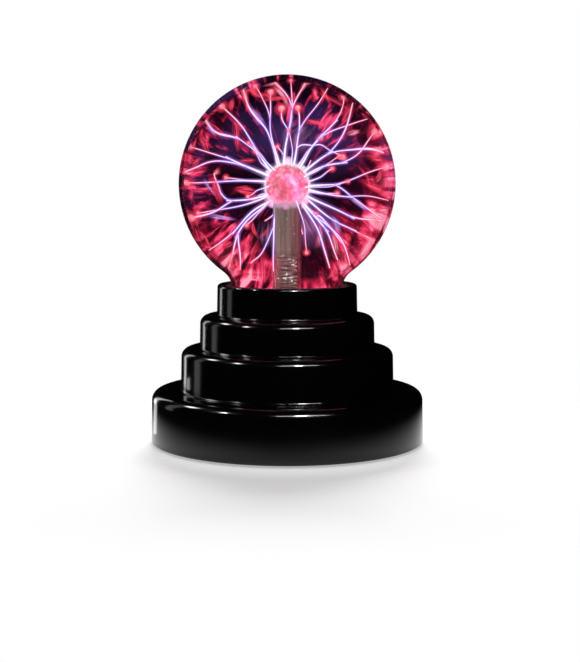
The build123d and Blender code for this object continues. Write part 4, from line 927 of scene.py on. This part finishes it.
core_radius = 0.00042
heart_radii = (0.00056, 0.00074, 0.00094)
glow_radii = (0.00114, 0.00138, 0.00166, 0.00198)
bead_cores, bead_hearts, bead_glows = [], [], []
fans = []
for run, widths, end, size in runs:
    tip = run[-1]
    if end == "bulb":
        drawn_out = dice.uniform(0.75, 1.7)
        course = (tip - run[-3]).normalized() + Vector([dice.uniform(-0.5, 0.5) for axis in range(3)])
        bead_cores.append(ball_at(tip, core_radius * size, drawn_out, course))
        bead_hearts += [ball_at(tip, wide * size, drawn_out, course) for wide in heart_radii]
        bead_glows += [ball_at(tip, wide * size, drawn_out, course) for wide in glow_radii]
    elif end == "fan":
        fans.append((run[-min(5, len(run))], tip, size))
gather("bead_cores", bead_cores, glow_material("bead_core", bead_stops, 1.3, 0.70))
gather("bead_hearts", bead_hearts, glow_material("bead_heart", heart_stops, 1.3, 0.26))
gather("bead_glows", bead_glows, glow_material("bead_glow", halo_stops, 1.2, 0.075))

# ------------------------------------------------------------------ bands of light
# Broad soft bands of red and violet light lie along the glass, where threads spread out over
# it. Each is a widening run from where its thread arrives.
bands = {"red": [], "rose": [], "violet": [], "haze": []}


def band(tone, side, widths, *steps):
    """Adds one band: its tone, the side of the ball, its widths at the steps, and its steps."""
    bands[tone].append(([on_glass(bearing, reach, side) for bearing, reach in steps], widths))


band("rose", back, (0.35, 0.9, 1.5), (88, .70), (92, .83), (98, .95))
band("rose", front, (0.35, 0.8, 1.2), (82, .80), (80, .89), (78, .97))
band("violet", back, (0.5, 1.2, 0.5), (110, .58), (114, .72), (117, .84))
band("red", back, (0.4, 1.1, 1.3), (117, .84), (116, .91), (114, .98))
band("red", back, (0.6, 1.3, 1.1, 0.5), (129, .82), (133, .73), (140, .64), (148, .57))
band("violet", front, (1.3, 0.8, 0.35), (143, .89), (144, .82), (146, .74))
band("rose", front, (0.4, 1.0, 1.4), (145, .92), (143, .95), (141, .97))
band("red", back, (0.3, 0.9, 0.4), (143, .38), (150, .45), (155, .54))
band("red", back, (0.5, 1.6, 0.9), (185, .54), (189, .42), (197, .30))
band("red", back, (0.4, 1.0, 1.5), (170, .78), (173, .87), (176, .95))
band("red", back, (0.4, 1.5, 0.8), (160, .80), (154, .88), (150, .96))
band("violet", front, (0.9, 0.6, 0.3), (176, .74), (182, .68), (190, .62))
band("violet", back, (0.9, 0.8, 0.4), (201, .84), (207, .72), (216, .60))
band("rose", front, (0.5, 1.1, 1.1), (200, .86), (199, .91), (198, .96))
band("red", back, (1.0, 1.6, 1.0), (206, .96), (213, .93), (221, .95))
band("red", back, (0.3, 0.8, 0.5), (224, .49), (233, .56), (242, .61))
band("red", back, (0.5, 0.7, 0.3), (242, .61), (246, .54), (246, .47))
band("red", front, (0.3, 1.1, 2.0), (231, .74), (234, .86), (237, .96))
band("red", front, (0.3, 1.0, 1.8), (232, .76), (239, .85), (244, .93))
band("rose", back, (0.8, 1.4, 1.0), (244, .96), (249, .94), (255, .92))
band("rose", front, (0.4, 0.9, 0.5), (35, .91), (31, .93), (27, .95))
band("rose", front, (0.5, 1.0, 0.4), (40, .67), (38, .73), (36, .80))
band("rose", back, (0.3, 0.8, 0.4), (28, .53), (25, .59), (22, .65))
band("red", back, (0.4, 1.0, 1.8), (47, .76), (49, .86), (51, .96))
band("red", back, (0.4, 1.2, 0.6), (48, .55), (50, .63), (53, .72))
band("red", back, (0.7, 1.4, 1.0), (20, .80), (16, .88), (13, .96))
band("red", back, (0.5, 0.7, 0.5), (16, .70), (5, .78), (-6, .82))
band("violet", back, (0.4, 0.9, 0.7), (-12, .60), (-15, .72), (-19, .84))
band("red", back, (0.5, 1.3, 1.6), (2, .72), (-2, .84), (-5, .95))
band("red", front, (0.4, 1.0, 1.2), (-20, .80), (-24, .88), (-28, .95))
band("violet", front, (0.4, 1.1, 0.6), (-35, .44), (-38, .54), (-43, .64))
band("rose", back, (0.4, 0.9, 1.3), (-50, .48), (-56, .58), (-64, .70))
band("rose", back, (0.5, 0.9, 1.2), (-47, .64), (-51, .74), (-55, .84))
band("red", front, (0.4, 1.2, 2.0), (-57, .78), (-61, .88), (-66, .96))
band("red", back, (0.8, 1.5, 1.2), (-30, .92), (-38, .94), (-45, .95))
band("red", back, (0.6, 1.3, 1.5), (-49, .84), (-52, .90), (-54, .96))
band("haze", back, (3.0, 4.2, 3.4), (-74, .26), (-67, .42), (-66, .62))
band("haze", back, (2.6, 3.4, 2.6), (-118, .40), (-112, .54), (-108, .66))
band("haze", back, (4.0, 5.5, 4.0), (84, .30), (80, .48), (70, .62))
band("red", back, (0.5, 1.2, 0.8), (62, .86), (66, .90), (71, .96))
band("red", back, (0.6, 1.4, 0.8), (104, .84), (109, .90), (112, .96))
# Where a thread opens out, its band starts at the thread and widens on over the glass.
fan_length = 0.0042
fan_turn = 0.60           # only threads that run so far along the glass open out
for start, tip, size in fans:
    course = (tip - start).normalized()
    radial = (tip - globe_centre).normalized()
    over = course - radial * course.dot(radial)
    if over.length > fan_turn:
        far_end = tip + over.normalized() * fan_length * size
        far_end = globe_centre + (far_end - globe_centre).normalized() * inside
        bands["rose"].append(([start, tip, far_end], (0.25, 0.8 * size, 1.5 * size)))

# More bands, scattered round the sides of the ball.
scattered = 44
front_limit = 0.78        # none lie nearer to the front and the back than this
for index in range(scattered):
    up = dice.uniform(-0.78, 0.92)
    turn = dice.uniform(0, math.tau)
    flat = math.sqrt(1 - up * up)
    way = Vector((flat * math.cos(turn), flat * math.sin(turn), up))
    if abs(way.y) > front_limit:
        continue
    out = Vector((way.x, 0.0, way.z)) if dice.random() < 0.7 else way.cross(Vector((0, 1, 0)))
    out = (out - way * out.dot(way)).normalized()
    out.rotate(Matrix.Rotation(dice.uniform(-0.6, 0.6), 3, way))
    span = dice.uniform(0.16, 0.42)
    points = [globe_centre + (way + out * span * share).normalized() * inside for share in (0.0, 0.5, 1.0)]
    wide = dice.uniform(0.7, 1.9)
    bands["red"].append((points, (wide * 0.3, wide, wide * dice.uniform(0.6, 1.2))))

half_width = 0.0014       # of a band, where its width is 1
band_across = 6
band_along = 12


def ribbon(name, made, material):
    """Soft bands as thin sheets over the glass. Across a band U runs from 0 to 1, and along it V."""
    sheet = bmesh.new()
    uv = sheet.loops.layers.uv.new("band")
    spots = {}
    for index, (points, widths) in enumerate(made):
        grid = bmesh.ops.create_grid(sheet, x_segments=band_across, y_segments=band_along, size=0.5)
        last = len(points) - 1
        for vert in grid["verts"]:
            u, v = vert.co.x + 0.5, vert.co.y + 0.5
            low = min(int(v * last), last - 1)
            share = v * last - low
            spot = points[low].lerp(points[low + 1], share)
            course = points[low + 1] - points[low]
            before = points[low] - points[low - 1] if low > 0 else course
            after = points[low + 2] - points[low + 1] if low + 2 <= last else course
            bent = before.normalized().lerp(after.normalized(), 0.5 + 0.5 * (share - 0.5))
            course = bent + course.normalized()
            radial = (spot - globe_centre).normalized()
            aside = course.cross(radial).normalized()
            vert.co = spot + aside * (u - 0.5) * 2 * width_at(widths, v) * half_width
            height = min((spot - globe_centre).length, inside)
            vert.co = globe_centre + (vert.co - globe_centre).normalized() * height
            spots[vert] = (index * 2 + u, v)
    for face in sheet.faces:
        for loop in face.loops:
            loop[uv].uv = spots[loop.vert]
    light_piece(name, into_mesh(sheet, name, smooth=True), material)


band_light, given, made = new_group("band_light", {"Edge": "Color", "Heart": "Color", "Cover": "Float"},
                                    {"Color": "Color", "Cover": "Float"})
own = add_node(band_light, "UVMap", uv_map="band")
parts = add_node(band_light, "SeparateXYZ", {0: own}).outputs
across = maths(band_light, "FRACT", parts[0])
hump = times(band_light, times(band_light, across, maths(band_light, "SUBTRACT", 1.0, across)), 4.0)
ends = times(band_light, in_range(band_light, parts[1], 0.0, 0.30, 0.0, 1.0),
             in_range(band_light, parts[1], 0.72, 1.0, 1.0, 0.0))
drawn = add_node(band_light, "Mapping", {"Vector": own, "Scale": (9.0, 1.2, 1.0)})
streak = in_range(band_light, noise_at(band_light, drawn, 1.0, 3.0, 0.6), 0.38, 0.60, 0.12, 1.0)
share = times(band_light, times(band_light, hump, streak), ends)
band_light.links.new(blend_colours(band_light, share, given["Edge"], given["Heart"]), made["Color"])
band_light.links.new(times(band_light, share, given["Cover"]), made["Cover"])

# Each tone: the colour at a band's edge and in its heart, its cover and its strength.
for tone, edge, heart, cover, strength in (
        ("red", (0.55, 0.008, 0.026), (1.0, 0.08, 0.17), 0.94, 1.3),
        ("rose", (0.85, 0.035, 0.080), (1.0, 0.40, 0.56), 0.90, 1.35),
        ("haze", (0.10, 0.035, 0.10), (0.42, 0.17, 0.34), 0.62, 1.2),
        ("violet", (0.20, 0.06, 0.50), (0.72, 0.46, 1.0), 0.80, 1.25)):
    band_look, tree = new_material(tone + "_band")
    light = place_group(tree, band_light, Edge=edge, Heart=heart, Cover=cover)
    to_surface(tree, add_node(tree, "BsdfPrincipled", {
        "Base Color": (0.0, 0.0, 0.0, 1.0), "Specular IOR Level": 0.0, "Emission Color": light["Color"],
        "Emission Strength": strength, "Alpha": light["Cover"]}))
    band_look.cycles.emission_sampling = "NONE"
    ribbon(tone + "_bands", bands[tone], band_look)

# ------------------------------------------------------------ glow of the electrode
# A bright fuzz of very short sparks stands all over the electrode, in a thin veil of light. It
# makes the ball's edge look white.
fuzz_count = 700
fuzz_root = 0.0001        # how deep its roots stand in the electrode
fuzz = []
for index in range(fuzz_count):
    up = dice.uniform(-0.78, 1)
    round_about = dice.uniform(0, math.tau)
    flat = math.sqrt(1 - up * up)
    way = Vector((flat * math.cos(round_about), flat * math.sin(round_about), up))
    foot = electrode_centre + way * (electrode_radius - fuzz_root)
    tall = dice.uniform(0.0004, 0.0011)
    fuzz.append(([foot, foot + way * tall * 0.5, foot + way * tall], (1.0, 0.7, 0.15)))
# Some longer ones creep over its face.
creep_height = 0.00025
for low, high, bearing in ((0.30, 0.98, 112), (0.20, 0.80, 268), (0.35, 0.95, 216), (0.30, 0.90, 330),
                           (0.4, 0.95, 64), (0.25, 0.85, 300)):
    creep = []
    for share in (low, (low + high) / 2, high):
        way = Vector((share * math.cos(math.radians(bearing)), -math.sqrt(1 - share * share),
                      share * math.sin(math.radians(bearing))))
        way += Vector([dice.uniform(-0.08, 0.08) for axis in range(3)])
        creep.append(electrode_centre + way.normalized() * (electrode_radius + creep_height))
    fuzz.append((creep, (1.3, 1.0, 1.6)))
fuzz_radius = 0.00028
corona_radius = 0.00070
fuzz_stops = ((near, (1.0, 0.90, 1.0)), (0.24, (0.98, 0.66, 1.0)), (far, (0.80, 0.40, 1.0)))
lay_threads("electrode_fuzz", fuzz, fuzz_radius, glow_material("fuzz_core", fuzz_stops, 1.05, 0.09))
lay_threads("electrode_corona", fuzz[::2], corona_radius, glow_material("fuzz_halo", fuzz_stops, 1.0, 0.07))

# A soft light lies round its foot. The places and sizes are in millimetres from its centre.
foot_stops = ((near, (1.0, 0.42, 0.72)), (far, (1.0, 0.30, 0.50)))
foot_shares = (0.45, 0.75, 1.05)
foot_least = 0.0046       # the light keeps this far out, even low down
foot_lift = 0.0002
foot_glow = []
for across, down, radius in ((-4.6, -5.0, 1.5), (-2.6, -6.0, 1.7), (0.0, -6.3, 1.9), (2.6, -6.0, 1.7),
                             (4.6, -5.0, 1.5), (-0.6, -7.2, 1.1)):
    for turn in range(3):
        spot = Vector((across, 0.0, down)) / 1000
        deep = max(electrode_radius ** 2 - spot.x ** 2 - spot.z ** 2, foot_least ** 2)
        spot.y = -math.sqrt(deep) - foot_lift
        spot.rotate(Matrix.Rotation(turn * math.tau / 3, 3, "Z"))
        for share in foot_shares:
            foot_glow.append(ball_at(electrode_centre + spot, radius * share / 1000))
gather("electrode_foot_glow", foot_glow, glow_material("foot_glow", foot_stops, 1.0, 0.17))
veil_gaps = (0.0002, 0.0005, 0.0009, 0.0014, 0.0021)
gather("electrode_veil", [ball_at(electrode_centre, electrode_radius + gap) for gap in veil_gaps],
       glow_material("electrode_veil", fuzz_stops, 1.0, 0.034))

# The glow is brightest where the eye looks along the electrode's edge. These shells face
# inwards and are lit on that side only, so they whiten the edge and leave the ball's face.
rim_gaps = (0.00015, 0.0004, 0.0007, 0.0011)
rim_look, tree = new_material("electrode_rim")
rim_look.use_backface_culling = True
rim_colour = blend_colours(tree, object_noise(tree, 260.0, 1.0), (1.0, 0.62, 0.92), (1.0, 0.95, 1.0))
to_surface(tree, one_way(tree, add_node(tree, "BsdfPrincipled", {
    "Base Color": (0.0, 0.0, 0.0, 1.0), "Specular IOR Level": 0.0, "Emission Strength": 1.15, "Alpha": 0.30,
    "Emission Color": rim_colour})))
gather("electrode_rim", [ball_at(electrode_centre, -electrode_radius - gap) for gap in rim_gaps], rim_look)

# Thick tufts of light stand where the strongest threads leave it.
tufts = []
for bearing, reach, size in ((88, 0.215, 0.0012), (232, 0.225, 0.0010), (318, 0.225, 0.0010),
                             (150, 0.215, 0.0006), (45, 0.215, 0.0006)):
    spot = on_glass(bearing, reach, 0)
    tufts += [ball_at(spot, size * share, 0.8, spot - globe_centre) for share in (0.5, 0.8, 1.15, 1.6)]
gather("electrode_tufts", tufts, glow_material("electrode_tuft", fuzz_stops, 1.1, 0.24))
